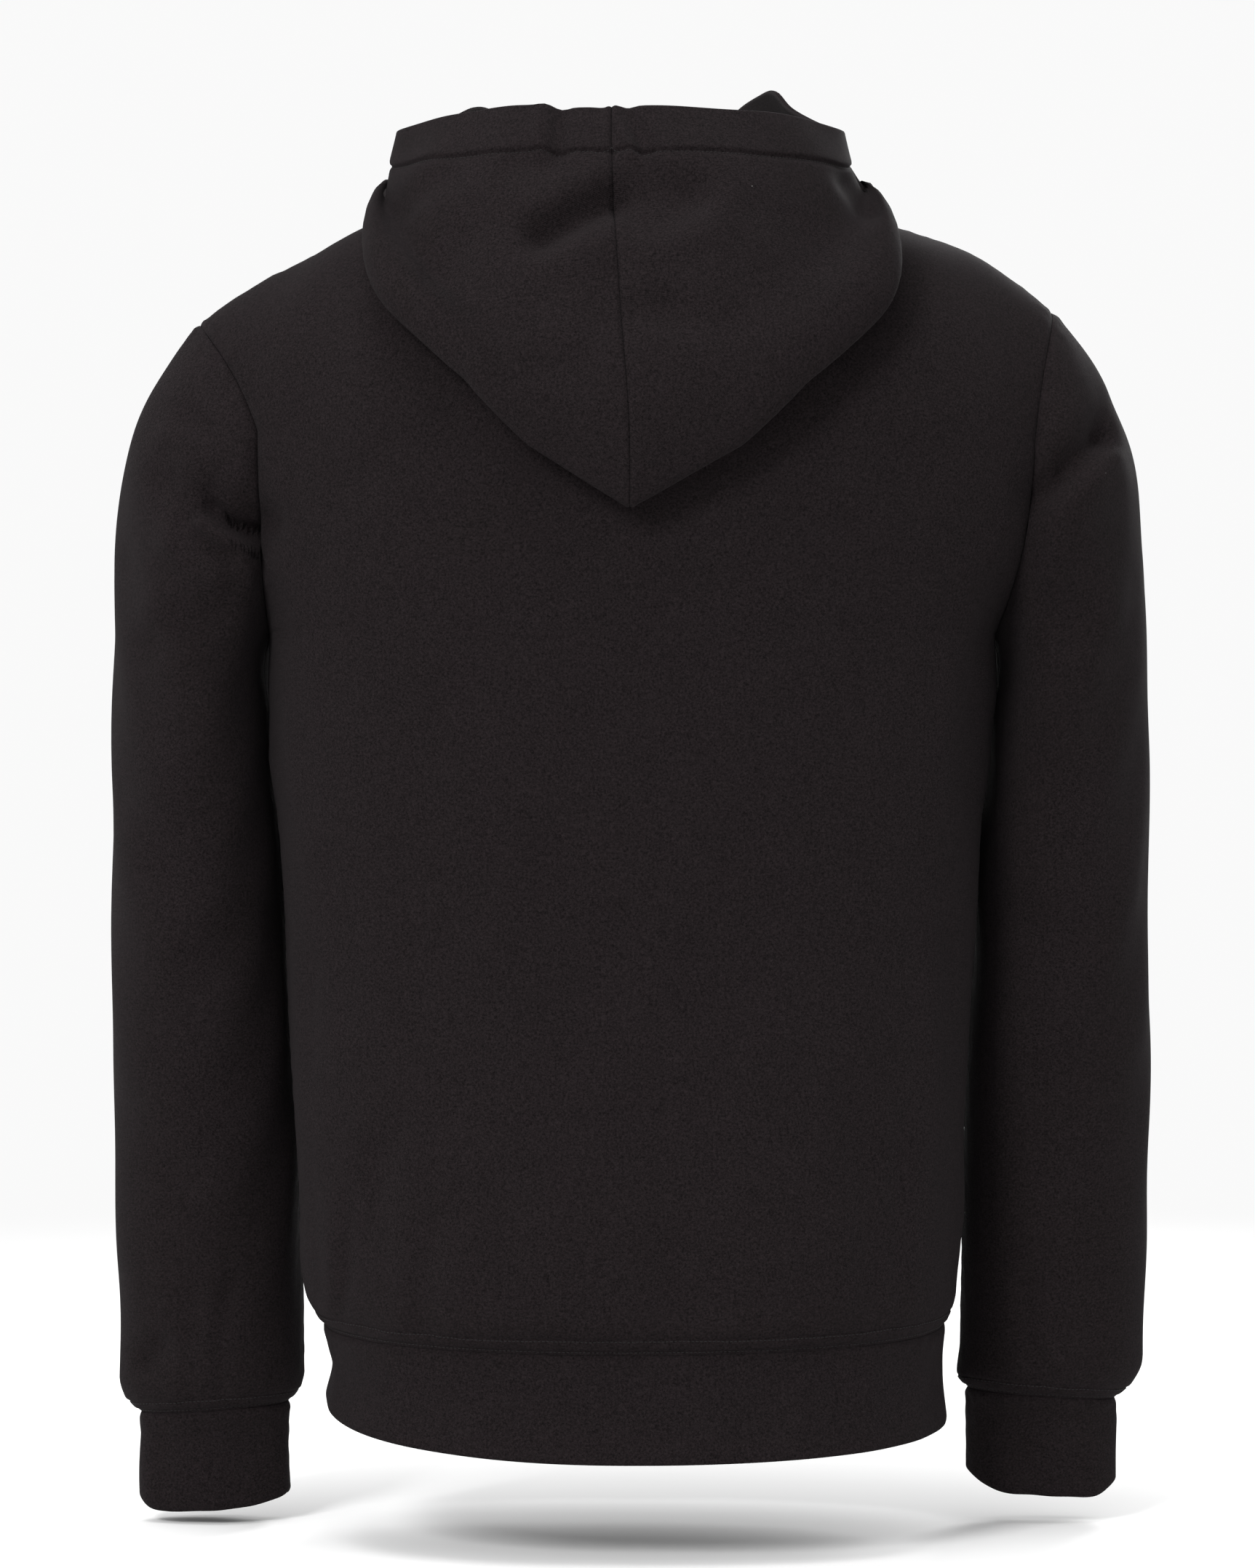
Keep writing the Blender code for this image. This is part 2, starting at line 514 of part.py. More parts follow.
def sewn_normals(grids):
    """For each piece its own unit normals, and those shared with the tubes it is sewn to."""
    own = {name: unit(face_normals(points, closed)) for name, (points, closed) in grids.items()}
    met = {}
    for name, (points, _) in grids.items():
        for key, normal in zip(seam_keys(points), own[name].reshape(-1, 3)):
            tubes = met.setdefault(key, {})
            tubes[tube(name)] = tubes.get(tube(name), 0) + normal
    shared = {}
    for name, (points, _) in grids.items():
        summed = [sum(unit(total) for total in met[key].values()) for key in seam_keys(points)]
        shared[name] = unit(np.array(summed).reshape(points.shape))
    return own, shared


def draw_back(moved, points, own, shared, closed, seams):
    """Moves the rows and columns that lie on a seam to their own side of it, by half its gap."""
    edges = (("bottom", 0, 1, False), ("top", -1, -2, False), ("first", 0, 1, True), ("last", -1, -2, True))
    moved = moved.copy()
    for name, edge, inner, sideways in edges:
        if name not in seams:
            continue
        at = (slice(None), edge) if sideways else (edge,)
        near = (slice(None), inner) if sideways else (inner,)
        line = points[at]
        wrapped = closed and not sideways
        run = np.roll(line, -1, axis=0) - np.roll(line, 1, axis=0) if wrapped else np.gradient(line, axis=0)
        # Where another seam ends on this one, the shared normal can lie along this seam.
        along = abs((shared[at] * unit(run)).sum(axis=-1, keepdims=True)) > 0.6
        way = unit(np.cross(np.where(along, own[at], shared[at]), run))
        into = unit(points[near] - line) - own[at]
        way = way * np.sign((way * into).sum(axis=-1, keepdims=True))
        moved[at] += way * SEAM_GAP / 2
    return moved


def sewn_wall(name, points, own, shared, closed, thick, rise, seams, finish):
    """A piece's wall: its outer grid raised by `rise`, its inner grid `thick` beneath, mitred."""
    depth = thick / np.maximum((own * shared).sum(axis=-1, keepdims=True), MITRE_LEAST)
    outer = draw_back(points + shared * rise, points, own, shared, closed, seams)
    inner = draw_back(points - shared * depth, points, own, shared, closed, seams)
    return wall_object(name, outer, inner, closed, finish)


def wall_object(name, outer, inner, closed, finish):
    """A closed wall between an outer and an inner grid of the same shape."""
    rows, columns = outer.shape[:2]
    index = np.arange(rows * columns).reshape(rows, columns)
    if closed:
        index = np.concatenate([index, index[:, :1]], axis=1)
    inside = index + rows * columns
    faces = []

    def sheet(grid, flip):
        quads = np.stack([grid[:-1, :-1], grid[:-1, 1:], grid[1:, 1:], grid[1:, :-1]], axis=-1)
        faces.extend((quads[..., ::-1] if flip else quads).reshape(-1, 4).tolist())

    sheet(index, False)
    sheet(inside, True)
    sheet(np.stack([inside[0], index[0]]), False)
    sheet(np.stack([index[-1], inside[-1]]), False)
    if not closed:
        sheet(np.stack([index[:, 0], inside[:, 0]]), False)
        sheet(np.stack([inside[:, -1], index[:, -1]]), False)
    mesh = bpy.data.meshes.new(name)
    mesh.from_pydata(np.vstack([outer.reshape(-1, 3), inner.reshape(-1, 3)]).tolist(), [], faces)
    tidy = bmesh.new()
    tidy.from_mesh(mesh)
    if tidy.calc_volume(signed=True) < 0:
        bmesh.ops.reverse_faces(tidy, faces=tidy.faces)
    tidy.to_mesh(mesh)
    tidy.free()
    mesh.shade_smooth()
    mesh.set_sharp_from_angle(angle=math.radians(50))
    mesh.materials.append(finish)
    piece = bpy.data.objects.new(name, mesh)
    bpy.context.scene.collection.objects.link(piece)
    return piece


# ---------------------------------------------------------------- materials
def material(name, colour, roughness, metallic=0.0):
    made = bpy.data.materials.new(name)
    made.use_nodes = True
    shader = made.node_tree.nodes["Principled BSDF"]
    shader.inputs["Base Color"].default_value = (*colour, 1)
    shader.inputs["Roughness"].default_value = roughness
    shader.inputs["Metallic"].default_value = metallic
    return made


def cloth_grids():
    """The outer grid of each sewn piece of the body, and whether it closes on itself."""
    neck = np.linspace(0, NECK_SHARE, NECK_COLUMNS + 1)
    halves = np.concatenate([neck, np.linspace(NECK_SHARE, 1, SHOULDER_COLUMNS + 1)[1:]])
    body_levels = np.array([*BODY_ROWS, *ARMHOLE_LEVELS])
    rows = body_levels[:, None]
    grids = {}
    back_right = panel(BACK, RIGHT, halves[::-1][None, :-1], rows)
    back_left = panel(BACK, LEFT, halves[None], rows)
    grids["back"] = (np.concatenate([back_right, back_left], axis=1), False)
    grids["front_left"] = (panel(FRONT, LEFT, halves[::-1][None], rows), False)
    grids["front_right"] = (panel(FRONT, RIGHT, halves[None], rows), False)
    band = np.array(BAND_ROWS)[:, None]
    grids["hem_band"] = (
        np.concatenate(
            [
                panel(FRONT, RIGHT, halves[None], band),
                panel(BACK, RIGHT, halves[::-1][None, 1:], band),
                panel(BACK, LEFT, halves[None, 1:], band),
                panel(FRONT, LEFT, halves[::-1][None, 1:], band),
            ],
            axis=1,
        ),
        False,
    )
    quarters = np.array([*(3 - np.array(ARMHOLE_LEVELS[:0:-1])), *(1 + np.array(ARMHOLE_LEVELS[:-1]))])
    round_angles = quarters[None] * math.pi / 2
    along = np.array([*np.linspace(0, 1, CAP_ROWS, endpoint=False), *(1 + np.array(ARM_ROWS))])
    cuff_rows = np.array([0, 0.12, 0.5, 0.9, 1.0])
    for side, word in ((LEFT, "left"), (RIGHT, "right")):
        turned = round_angles if side == RIGHT else -round_angles % (2 * math.pi)
        grids["sleeve_" + word] = (sleeve(side, turned, along[:, None]), True)
        grids["cuff_" + word] = (cuff(side, turned, cuff_rows[:, None]), True)
    return grids


SEAMS = {
    "back": {"bottom", "top", "first", "last"},
    "front_left": {"bottom", "top", "first"},
    "front_right": {"bottom", "top", "last"},
    "hem_band": {"top"},
    "sleeve_left": {"bottom", "top"},
    "sleeve_right": {"bottom", "top"},
    "cuff_left": {"bottom"},
    "cuff_right": {"bottom"},
}


def build_body(fleece):
    grids = cloth_grids()
    # Every piece's faces turn the same way round before their normals are summed at seams.
    for name, (points, closed) in grids.items():
        hub = points.mean(axis=1, keepdims=True) if closed else np.array([0.0, 0.0, -0.3])
        if ((points - hub) * face_normals(points, closed)).sum() < 0:
            grids[name] = (points[:, ::-1], closed)
            swap = {"first": "last", "last": "first"}
            SEAMS[name] = {swap.get(edge, edge) for edge in SEAMS[name]}
    _, shared = sewn_normals(grids)
    grids = {
        name: (creased(points, shared[name], CREASES), closed)
        for name, (points, closed) in grids.items()
    }
    own, shared = sewn_normals(grids)
    for name, (points, closed) in grids.items():
        thick = BAND_CLOTH if name.startswith(("cuff", "hem")) else FLEECE
        sewn_wall(name, points, own[name], shared[name], closed, thick, 0, SEAMS[name], fleece)


def build_hood(fleece):
    stations = np.array(HOOD_STATIONS)
    shares = np.linspace(0, 1, HOOD_ROWS + 1)
    grids = {
        "hood_left": (hood(LEFT, stations, shares)[:, ::-1], False),
        "hood_right": (hood(RIGHT, stations, shares), False),
    }
    _, shared = sewn_normals(grids)
    grids = {
        name: (creased(points, shared[name], HOOD_CREASES), False)
        for name, (points, _) in grids.items()
    }
    own, shared = sewn_normals(grids)
    casing = ease((shares - CASING_MARK) / 0.03)[:, None, None] * CASING_RISE
    for name, (points, _) in grids.items():
        seam = {"last"} if name == "hood_left" else {"first"}
        sewn_wall(name, points, own[name], shared[name], False, FLEECE, casing, seam, fleece)


# ---------------------------------------------------------------- zip pieces
def zip_line(level):
    """The centre front's profile in the plane x 0: points and outward unit normals."""
    flat = np.array([0.0, 1.0, 1.0])
    return panel(FRONT, LEFT, 0.0, level) * flat, unit(panel_out(FRONT, LEFT, 0.0, level) * flat)


def mesh_object(name, points, faces, finish, origin=(0, 0, 0)):
    """A closed mesh as an object whose origin lies at `origin`."""
    mesh = bpy.data.meshes.new(name)
    mesh.from_pydata((np.array(points) - np.array(origin)).tolist(), [], faces)
    tidy = bmesh.new()
    tidy.from_mesh(mesh)
    bmesh.ops.recalc_face_normals(tidy, faces=tidy.faces)
    tidy.to_mesh(mesh)
    tidy.free()
    mesh.materials.append(finish)
    piece = bpy.data.objects.new(name, mesh)
    piece.location = origin
    bpy.context.scene.collection.objects.link(piece)
    return piece


def build_tape(name, side, levels, from_top, finish):
    """Tape and chain as one swept section, its chain edge open above the slider."""
    points, normals = zip_line(levels)
    edge = CHAIN_OPEN + (CHAIN_GAP - CHAIN_OPEN) * ease((from_top - 0.0115) / 0.007)
    chain = edge + CHAIN_WIDTH
    wide = np.full_like(edge, TAPE_WIDTH)
    section = (
        (edge, -TAPE_DEPTH - TAPE_THICK),
        (wide, -TAPE_DEPTH - TAPE_THICK),
        (wide, -TAPE_DEPTH),
        (chain, -TAPE_DEPTH),
        (chain, -TAPE_DEPTH + CHAIN_RISE),
        (edge, -TAPE_DEPTH + CHAIN_RISE),
    )
    rings = np.stack([points + normals * out + stack(side * x, 0.0, 0.0) for x, out in section], axis=1)
    count = len(section)
    faces = []
    for row in range(len(levels) - 1):
        for i in range(count):
            j = (i + 1) % count
            faces.append([row * count + i, row * count + j, (row + 1) * count + j, (row + 1) * count + i])
    last = (len(levels) - 1) * count
    for first in (0, last):
        faces.append([first, first + 1, first + 2, first + 3])
        faces.append([first, first + 3, first + 4, first + 5])
    return mesh_object(name, rings.reshape(-1, 3), faces, finish)


def prism(name, outline, low, high, place, finish, origin=(0, 0, 0)):
    """An outline swept from low to high; place(u, v, w) puts a point in the world."""
    count = len(outline)
    points = [place(u, v, w) for w in (low, high) for u, v in outline]
    faces = [[i, (i + 1) % count, (i + 1) % count + count, i + count] for i in range(count)]
    faces += [list(range(count)), list(range(count, 2 * count))]
    return mesh_object(name, points, faces, finish, origin)


def combine(piece, operation, tool):
    """Joins the tool to the piece, or cuts it out, and hides the tool."""
    step = piece.modifiers.new(tool.name, "BOOLEAN")
    step.operation = operation
    step.solver = "EXACT"
    step.object = tool
    tool.hide_render = True
    tool.hide_set(True)


def build_zip(tape, metal):
    dense = np.linspace(-0.985, 2.96, 1600)
    line, _ = zip_line(dense)
    length = np.concatenate([[0], np.cumsum(np.linalg.norm(np.diff(line, axis=0), axis=1))])
    from_top = length[-1] - length
    rows = np.array([*BAND_ROWS, *BODY_ROWS, *ARMHOLE_LEVELS])
    extra = np.interp([0.0185, 0.015, 0.0115], from_top[::-1], dense[::-1])
    levels = np.unique(np.clip(np.concatenate([rows, extra]), dense[0], dense[-1]))
    below = np.interp(levels, dense, from_top)
    build_tape("zip_tape_left", LEFT, levels, below, tape)
    build_tape("zip_tape_right", RIGHT, levels, below, tape)

    middle = np.interp(SLIDER_DROP, from_top[::-1], dense[::-1])
    centre, out = (values[0] for values in zip_line(np.array([middle])))
    right = np.array([1.0, 0.0, 0.0])
    down = np.cross(right, out)
    down = down * -np.sign(down[2])
    front = -TAPE_DEPTH + CHAIN_RISE + PLATE_CLEAR
    rear = -TAPE_DEPTH - TAPE_THICK - PLATE_CLEAR

    def over(u, v, w):
        return centre + right * u + down * v + out * w

    def beside(u, v, w):
        return over(w, u, v + front + PLATE_THICK)

    half, top, bottom = POST
    post = ((-half, top), (half, top), (half, bottom), (-half, bottom))
    slider = prism("zip_slider", SLIDER_OUTLINE, front, front + PLATE_THICK, over, metal)
    back_plate = prism("slider_rear_plate", SLIDER_OUTLINE, rear - PLATE_THICK, rear, over, metal)
    combine(slider, "UNION", back_plate)
    combine(slider, "UNION", prism("slider_post", post, rear - 0.0004, front + 0.0004, over, metal))
    combine(slider, "UNION", prism("slider_bridge", BRIDGE, -BRIDGE_HALF, BRIDGE_HALF, beside, metal))

    lift = front + PLATE_THICK + PULL_AXIS
    axis = over(0, 0, lift)
    low, high = lift - PULL_THICK / 2, lift + PULL_THICK / 2
    pull = prism("zip_pull", PULL_OUTLINE, low, high, over, metal, axis)
    combine(pull, "DIFFERENCE", prism("pull_eye", PULL_EYE, low - 0.001, high + 0.001, over, metal))


bpy.context.scene.unit_settings.scale_length = 1.0
for old in list(bpy.data.objects):
    bpy.data.objects.remove(old)

fleece = material("black_fleece", (0.020, 0.017, 0.018), 0.92)
tape = material("black_tape", (0.016, 0.015, 0.016), 0.80)
metal = material("black_nickel", (0.050, 0.050, 0.055), 0.35, 1.0)
build_body(fleece)
build_hood(fleece)
build_zip(tape, metal)
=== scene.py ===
"""The looks of a zip-up hoodie in its worn shape, hood down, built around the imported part.

Metres. +Z is up, the front faces -Y and the wearer's left is +X.
"""

import math

import bpy
import numpy as np
from mathutils.kdtree import KDTree
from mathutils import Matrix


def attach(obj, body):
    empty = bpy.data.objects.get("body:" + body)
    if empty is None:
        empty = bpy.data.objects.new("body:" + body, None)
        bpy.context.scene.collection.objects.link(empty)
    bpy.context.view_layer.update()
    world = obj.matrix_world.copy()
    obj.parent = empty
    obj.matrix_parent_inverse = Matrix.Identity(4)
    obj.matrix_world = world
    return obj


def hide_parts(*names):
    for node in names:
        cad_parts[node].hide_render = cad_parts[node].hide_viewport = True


QUARTER = math.pi / 2
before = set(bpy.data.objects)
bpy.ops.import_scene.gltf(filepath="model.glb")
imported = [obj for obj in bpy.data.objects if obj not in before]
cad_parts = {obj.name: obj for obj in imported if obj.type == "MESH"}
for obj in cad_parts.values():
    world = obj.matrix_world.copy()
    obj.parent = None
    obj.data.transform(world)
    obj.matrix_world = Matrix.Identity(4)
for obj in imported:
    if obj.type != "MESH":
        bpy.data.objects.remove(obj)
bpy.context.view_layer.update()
scene = bpy.context.scene
scene.view_settings.view_transform = "Standard"

# ---------------------------------------------------------------- camera
# The photograph looks level at the garment's back from 2.6 m, with 0.41 mm of it to a pixel.
CAMERA_BACK = 2.6
CAMERA_Z = -0.319
PIXEL = 0.00041
FRAME_HIGH = 2156
SENSOR = 36.0  # its height in millimetres
CENTRE_OFF = 3.5  # pixels by which the garment's centre line lies right of the frame's
lens = bpy.data.cameras.new("camera")
lens.sensor_width = SENSOR
lens.lens = SENSOR * CAMERA_BACK / PIXEL / FRAME_HIGH
lens.shift_x = -CENTRE_OFF / FRAME_HIGH
camera = bpy.data.objects.new("camera", lens)
camera.location = (0.0, CAMERA_BACK, CAMERA_Z)
camera.rotation_euler = (QUARTER, 0.0, math.pi)
scene.collection.objects.link(camera)
scene.camera = camera

PLAIN = {"side", "ridge", "level", "station", "across", "up"}  # columns that are no lengths


def table(text):
    """A table's columns by name, each an array down its rows. Its lengths are in millimetres."""
    names, *rows = (line.split("#")[0].split() for line in text.strip().splitlines())
    columns = zip(names, np.array(rows, float).T)
    return {name: values if name in PLAIN else values / 1000 for name, values in columns}


# ---------------------------------------------------------------- back
# One panel of brushed-back sweatshirt fleece with its wales running down. It is sewn to the
# fronts at the shoulders and sides, to the sleeves round the armholes, and to the hem band.
FLEECE = 0.0020  # its thickness
LEFT, RIGHT = 1, -1
SIDES = ((LEFT, "left"), (RIGHT, "right"))
BACK, FRONT = 1, -1
DOWN = np.array([0, 0, -1.0])
NECK_HALF = 0.088
NECK_Z = 0.014
NECK_BACK_Y, NECK_BACK_Z = 0.058, 0.000
NECK_FRONT_Y, NECK_FRONT_Z = -0.105, -0.078
ZIP_HALF = 0.0065
NECK_SHARE = 4 / 11
BODY = table("""
level side_z back_z front_z  left right side_y back_y front_y
   -1   -668 -686.2    -669 171.5 178.5     -4    117    -121  # hem
-0.55   -647   -659    -644 167.5 176.5     -4    113    -117  # band
    0   -620 -627.6    -616   173 177.5     -4    112    -117  # band seam
0.045   -603 -609.5    -599   181 183.2     -4    119    -125  # blouse
 0.12   -574   -580    -571 183.8   184     -4    119    -127  # hip
 0.31   -501   -504    -501 188.5   188     -4    112    -129
 0.52   -420   -420    -420 193.5   193     -5    105    -132  # waist
 0.75   -331   -331    -331   199 197.5     -6    111    -138
    1   -235   -235    -235   203   205     -8    121    -142  # underarm
""")
HEM_LEAN = 0.0055  # by which the hem lies higher on the left and lower on the right
ROUNDNESS = 0.80  # power of the sine and cosine in a level section: 1 is an oval
# The blades and the chest: y and z on the centre line, and x, y and z where they meet the armhole.
YOKE = {
    BACK: {"y": 0.125, "z": -0.125, LEFT: (0.205, 0.062, -0.125), RIGHT: (0.223, 0.062, -0.132)},
    FRONT: {"y": -0.14, "z": -0.15, LEFT: (0.184, -0.084, -0.14), RIGHT: (0.188, -0.084, -0.14)},
}
YOKE_TURN = 58.0  # degrees that a section turns from the centre to the armhole there
CROWN_TURN = {BACK: 66.0, FRONT: 40.0}  # degrees that the centre line turns over from there up
SHOULDER = {
    LEFT: {"x": 0.243, "z": -0.060, "arch": 0.0092, "skew": 0.72},
    RIGHT: {"x": 0.238, "z": -0.053, "arch": 0.0106, "skew": 1.60},
}
# Creases: side 1 is the back, and the line from (x1, z1) to (x2, z2) is pushed in by its depth.
CREASES = table("""
side   x1   z1   x2   z2 width depth
   1  203 -176  232 -160    11   9.5  # left armpit
   1  215 -205  250 -178    12    -4  # ridge under it
   1  256 -153  226 -190    10   3.5
   1 -222 -162 -262 -125    11     6  # right armpit
   1 -230 -185 -268 -150    12    -3
  -1  198 -170  235 -150    12     8
  -1 -200 -172 -240 -148    12   7.5
   1  142 -520  150 -610    12     3  # troughs over the hem band
   1  108 -560  112 -612    10   2.2
   1  -14 -500  -30 -600    20     3
   1 -136 -525 -138 -606    11   2.8
   1  268 -640  276 -646     8     5  # dimple over the left cuff
  -1  110 -520  118 -606    12   2.8
  -1 -104 -530 -112 -606    12   2.8
""")
# The smaller folds that only the fine cloth shows: bow is how far the middle of the crease lies to
# one side of its ends, and ridge the height of the soft ridge beside it, as a part of the depth.
FOLDS = table("""
side   x1   z1   x2   z2 width depth bow ridge
   1  176 -420  172 -606     7   1.6   4   0.5
   1  155 -545  160 -612     5   1.6  -2   0.6
   1  126 -500  133 -606     8   1.4   3   0.5
   1  -30 -420  -12 -560    22   1.6   8     0
   1 -116 -480 -127 -600     8   1.3  -4   0.5
   1 -152 -500 -149 -604     6   1.4   3   0.5
   1 -176 -400 -178 -600     7   1.5  -3   0.5
   1  196 -215  178 -330    10   1.8  -5   0.4
   1 -205 -210 -186 -320    10   1.6   5   0.4
   1   60 -115  150 -160    14   1.2   8     0
   1  -70 -110 -165 -150    14   1.2  -8     0
  -1  186 -205  150 -290    10   2.4  -8   0.5
  -1 -188 -205 -156 -300    10   2.2   8   0.5
  -1  168 -450  172 -604     8   1.8   4   0.5
  -1 -166 -440 -171 -604     8   1.8  -4   0.5
  -1   70 -500   78 -606     9   1.4   3   0.4
  -1  -62 -510  -70 -606     9   1.4  -3   0.4
  -1  100  -85  150 -130    12   1.4   6   0.3
  -1 -100  -85 -150 -132    12   1.4  -6   0.3
""")


def follow(knots, values, at):
    """A smooth curve through values at the knots that never overshoots them, read at `at`."""
    at = np.clip(at, knots[0], knots[-1])
    step = np.diff(knots)
    slope = np.diff(values) / step
    tangent = np.concatenate([slope[:1], np.zeros(len(slope) - 1), slope[-1:]])
    rising = slope[:-1] * slope[1:] > 0
    before, after = slope[:-1][rising], slope[1:][rising]
    tangent[1:-1][rising] = 2 * before * after / (before + after)
    cell = np.clip(np.searchsorted(knots, at, side="right") - 1, 0, len(step) - 1)
    f = (at - knots[cell]) / step[cell]
    start, end = values[cell], values[cell + 1]
    return (
        start * (1 + 2 * f) * (1 - f) ** 2
        + end * f * f * (3 - 2 * f)
        + step[cell] * f * (1 - f) * (tangent[cell] * (1 - f) - tangent[cell + 1] * f)
    )


def ease(share):
    """0 to 1 with level ends."""
    share = np.clip(share, 0, 1)
    return share * share * (3 - 2 * share)


def stack(*parts):
    """Numbers or arrays as the last axis of one array."""
    return np.stack(np.broadcast_arrays(*parts), axis=-1)


def unit(vectors):
    return vectors / np.maximum(np.linalg.norm(vectors, axis=-1, keepdims=True), 1e-12)


def section_angle(share):
    """The angle round a level section, centre to side, so that shares are even in girth."""
    half_width, half_depth = 0.19, 0.12
    angle = np.linspace(0, QUARTER, 400)
    x = half_width * np.sin(angle) ** ROUNDNESS
    y = half_depth * np.cos(angle) ** ROUNDNESS
    girth = np.concatenate([[0], np.cumsum(np.hypot(np.diff(x), np.diff(y)))])
    return np.interp(share, girth / girth[-1], angle)


def across(share, turn):
    """How far a section has gone sideways and round, 0 to 1, at a share of its half width."""
    angle = section_angle(share) * turn / 90
    full = np.radians(turn)
    side = np.sin(angle) ** ROUNDNESS / np.sin(full) ** ROUNDNESS
    depth = (1 - np.cos(angle) ** ROUNDNESS) / (1 - np.cos(full) ** ROUNDNESS)
    return side, depth


def top_edge(face, side, share):
    """Neckline, then shoulder seam, from the centre (0) to the shoulder point (1)."""
    turn = np.clip(share / NECK_SHARE, 0, 1) * QUARTER
    start = ZIP_HALF if face == FRONT else 0.0
    neck_y, neck_z = (NECK_BACK_Y, NECK_BACK_Z) if face == BACK else (NECK_FRONT_Y, NECK_FRONT_Z)
    neck = stack(
        side * (start + (NECK_HALF - start) * np.sin(turn)),
        neck_y * np.cos(turn),
        NECK_Z + (neck_z - NECK_Z) * np.cos(turn),
    )
    end = SHOULDER[side]
    along = np.clip((share - NECK_SHARE) / (1 - NECK_SHARE), 0, 1)
    arch = end["arch"] * np.sin(math.pi * along ** end["skew"])
    shoulder = stack(
        side * (NECK_HALF + (end["x"] - NECK_HALF) * along),
        0.0,
        NECK_Z + (end["z"] - NECK_Z) * along + arch,
    )
    return np.where((share < NECK_SHARE)[..., None], neck, shoulder)


def panel(face, side, share, level):
    """A point of the back or a front: share 0 centre to 1 side, level -1 hem, 0 band seam,
    1 underarm, 2 blade or chest, 3 neck and shoulder seam."""
    share, level = np.broadcast_arrays(np.asarray(share, float), np.asarray(level, float))
    start = side * ZIP_HALF if face == FRONT else 0.0
    name = "back" if face == BACK else "front"
    width_name = "left" if side == LEFT else "right"
    yoke = YOKE[face]
    row = {column: follow(BODY["level"], BODY[column], level) for column in BODY}
    edge_x = side * row[width_name]
    edge_y = row["side_y"]
    edge_z = row["side_z"] + side * HEM_LEAN * ease(-level)
    centre_y, centre_z = row[name + "_y"], row[name + "_z"]

    # Underarm to blade or chest: the edge leaves the underarm level and turns up the armhole.
    rise = np.clip(level - 1, 0, 1)
    quarter = rise * QUARTER
    hole_x, hole_y, hole_z = yoke[side]
    edge_x = edge_x + (side * hole_x - edge_x) * ease(rise)
    edge_y = edge_y + (hole_y - edge_y) * np.sin(quarter)
    edge_z = edge_z + (hole_z - edge_z) * (1 - np.cos(quarter))
    centre_y = centre_y + (yoke["y"] - centre_y) * np.sin(quarter)
    centre_z = centre_z + (yoke["z"] - centre_z) * rise
    turn = 90 + (YOKE_TURN - 90) * ease(rise)
    aside, around = across(share, turn)
    low = stack(
        start + (edge_x - start) * aside,
        centre_y + (edge_y - centre_y) * around,
        centre_z + (edge_z - centre_z) * share**2,
    )

    # Blade or chest to the top edge: each column turns over like a quarter of an oval.
    over = np.clip(level - 2, 0, 1)
    top = top_edge(face, side, share)
    full = np.radians(CROWN_TURN[face] + (90 - CROWN_TURN[face]) * ease(share / 0.55))
    angle = over * full
    up = np.sin(angle) / np.sin(full)
    forward = (1 - np.cos(angle)) / (1 - np.cos(full))
    sideways = (np.sin(over * QUARTER) + np.sin(over * QUARTER) ** 2) / 2
    mix = np.stack([sideways, forward, up], axis=-1)
    return low + (top - low) * mix


def panel_out(face, side, share, level):
    """The panel's outward unit normal, from its neighbours 1 mm or so away."""
    step = 0.006
    low, high = np.maximum(share - step, 0), np.minimum(share + step, 1)
    under, over = np.maximum(level - step, -1), np.minimum(level + step, 3)
    right = panel(face, side, high, level) - panel(face, side, low, level)
    up = panel(face, side, share, over) - panel(face, side, share, under)
    return unit(np.cross(right, up) * side * -face)


# The sleeve, whose run at the armhole the back and fronts lean to at their seam with it.
SLEEVE = table("""
   z outer inner   y depth
-250 292.2 204.5 -22    71
-330   295   199 -34    66
-420   296 194.8 -41    60
-500 295.7 190.8 -45    51
-580   294   188 -48    42
-636   293   187 -50    36
-656   293 186.8 -50    34  # blouse over the cuff
-667   290 188.5 -50    31
-676 281.7 195.2 -50    25  # cuff seam
""")
SLEEVE_OUT = {LEFT: 0.0, RIGHT: 0.0025}  # its lower end lies this much further out
CUFF_IN = {LEFT: 0.0, RIGHT: 0.0050}  # and its cuff seam this much further in
SLEEVE_RISE = {LEFT: 0.000, RIGHT: 0.008}  # and this much higher
BICEPS_TILT = 0.042  # by which the outer side lies higher than the middle at the biceps
CUFF_TILT = 0.003  # and lower at the cuff


def armhole(side, angle):
    """The armhole, from the shoulder point (0) down the back, under the arm and up the front."""
    back = panel(BACK, side, 1.0, 3 - np.minimum(angle, math.pi) / QUARTER)
    front = panel(FRONT, side, 1.0, 1 + np.maximum(angle - math.pi, 0) / QUARTER)
    return np.where((angle <= math.pi)[..., None], back, front)


def arm_section(side, angle, down):
    """The sleeve from biceps (down 0) to cuff seam (1)."""
    z = SLEEVE["z"][0] + (SLEEVE["z"][-1] - SLEEVE["z"][0]) * down
    outer, inner, y, depth = (
        follow(-SLEEVE["z"], SLEEVE[column], -z) for column in ("outer", "inner", "y", "depth")
    )
    tilt = BICEPS_TILT * (1 - ease(down / 0.35)) - CUFF_TILT * ease((down - 0.6) / 0.4)
    aside = SLEEVE_OUT[side] * ease(down) - CUFF_IN[side] * ease((down - 0.94) / 0.06)
    return stack(
        side * ((outer + inner) / 2 + (outer - inner) / 2 * np.cos(angle) + aside),
        y + depth * np.sin(angle),
        z + tilt * np.cos(angle) + SLEEVE_RISE[side] * ease(down),
    )


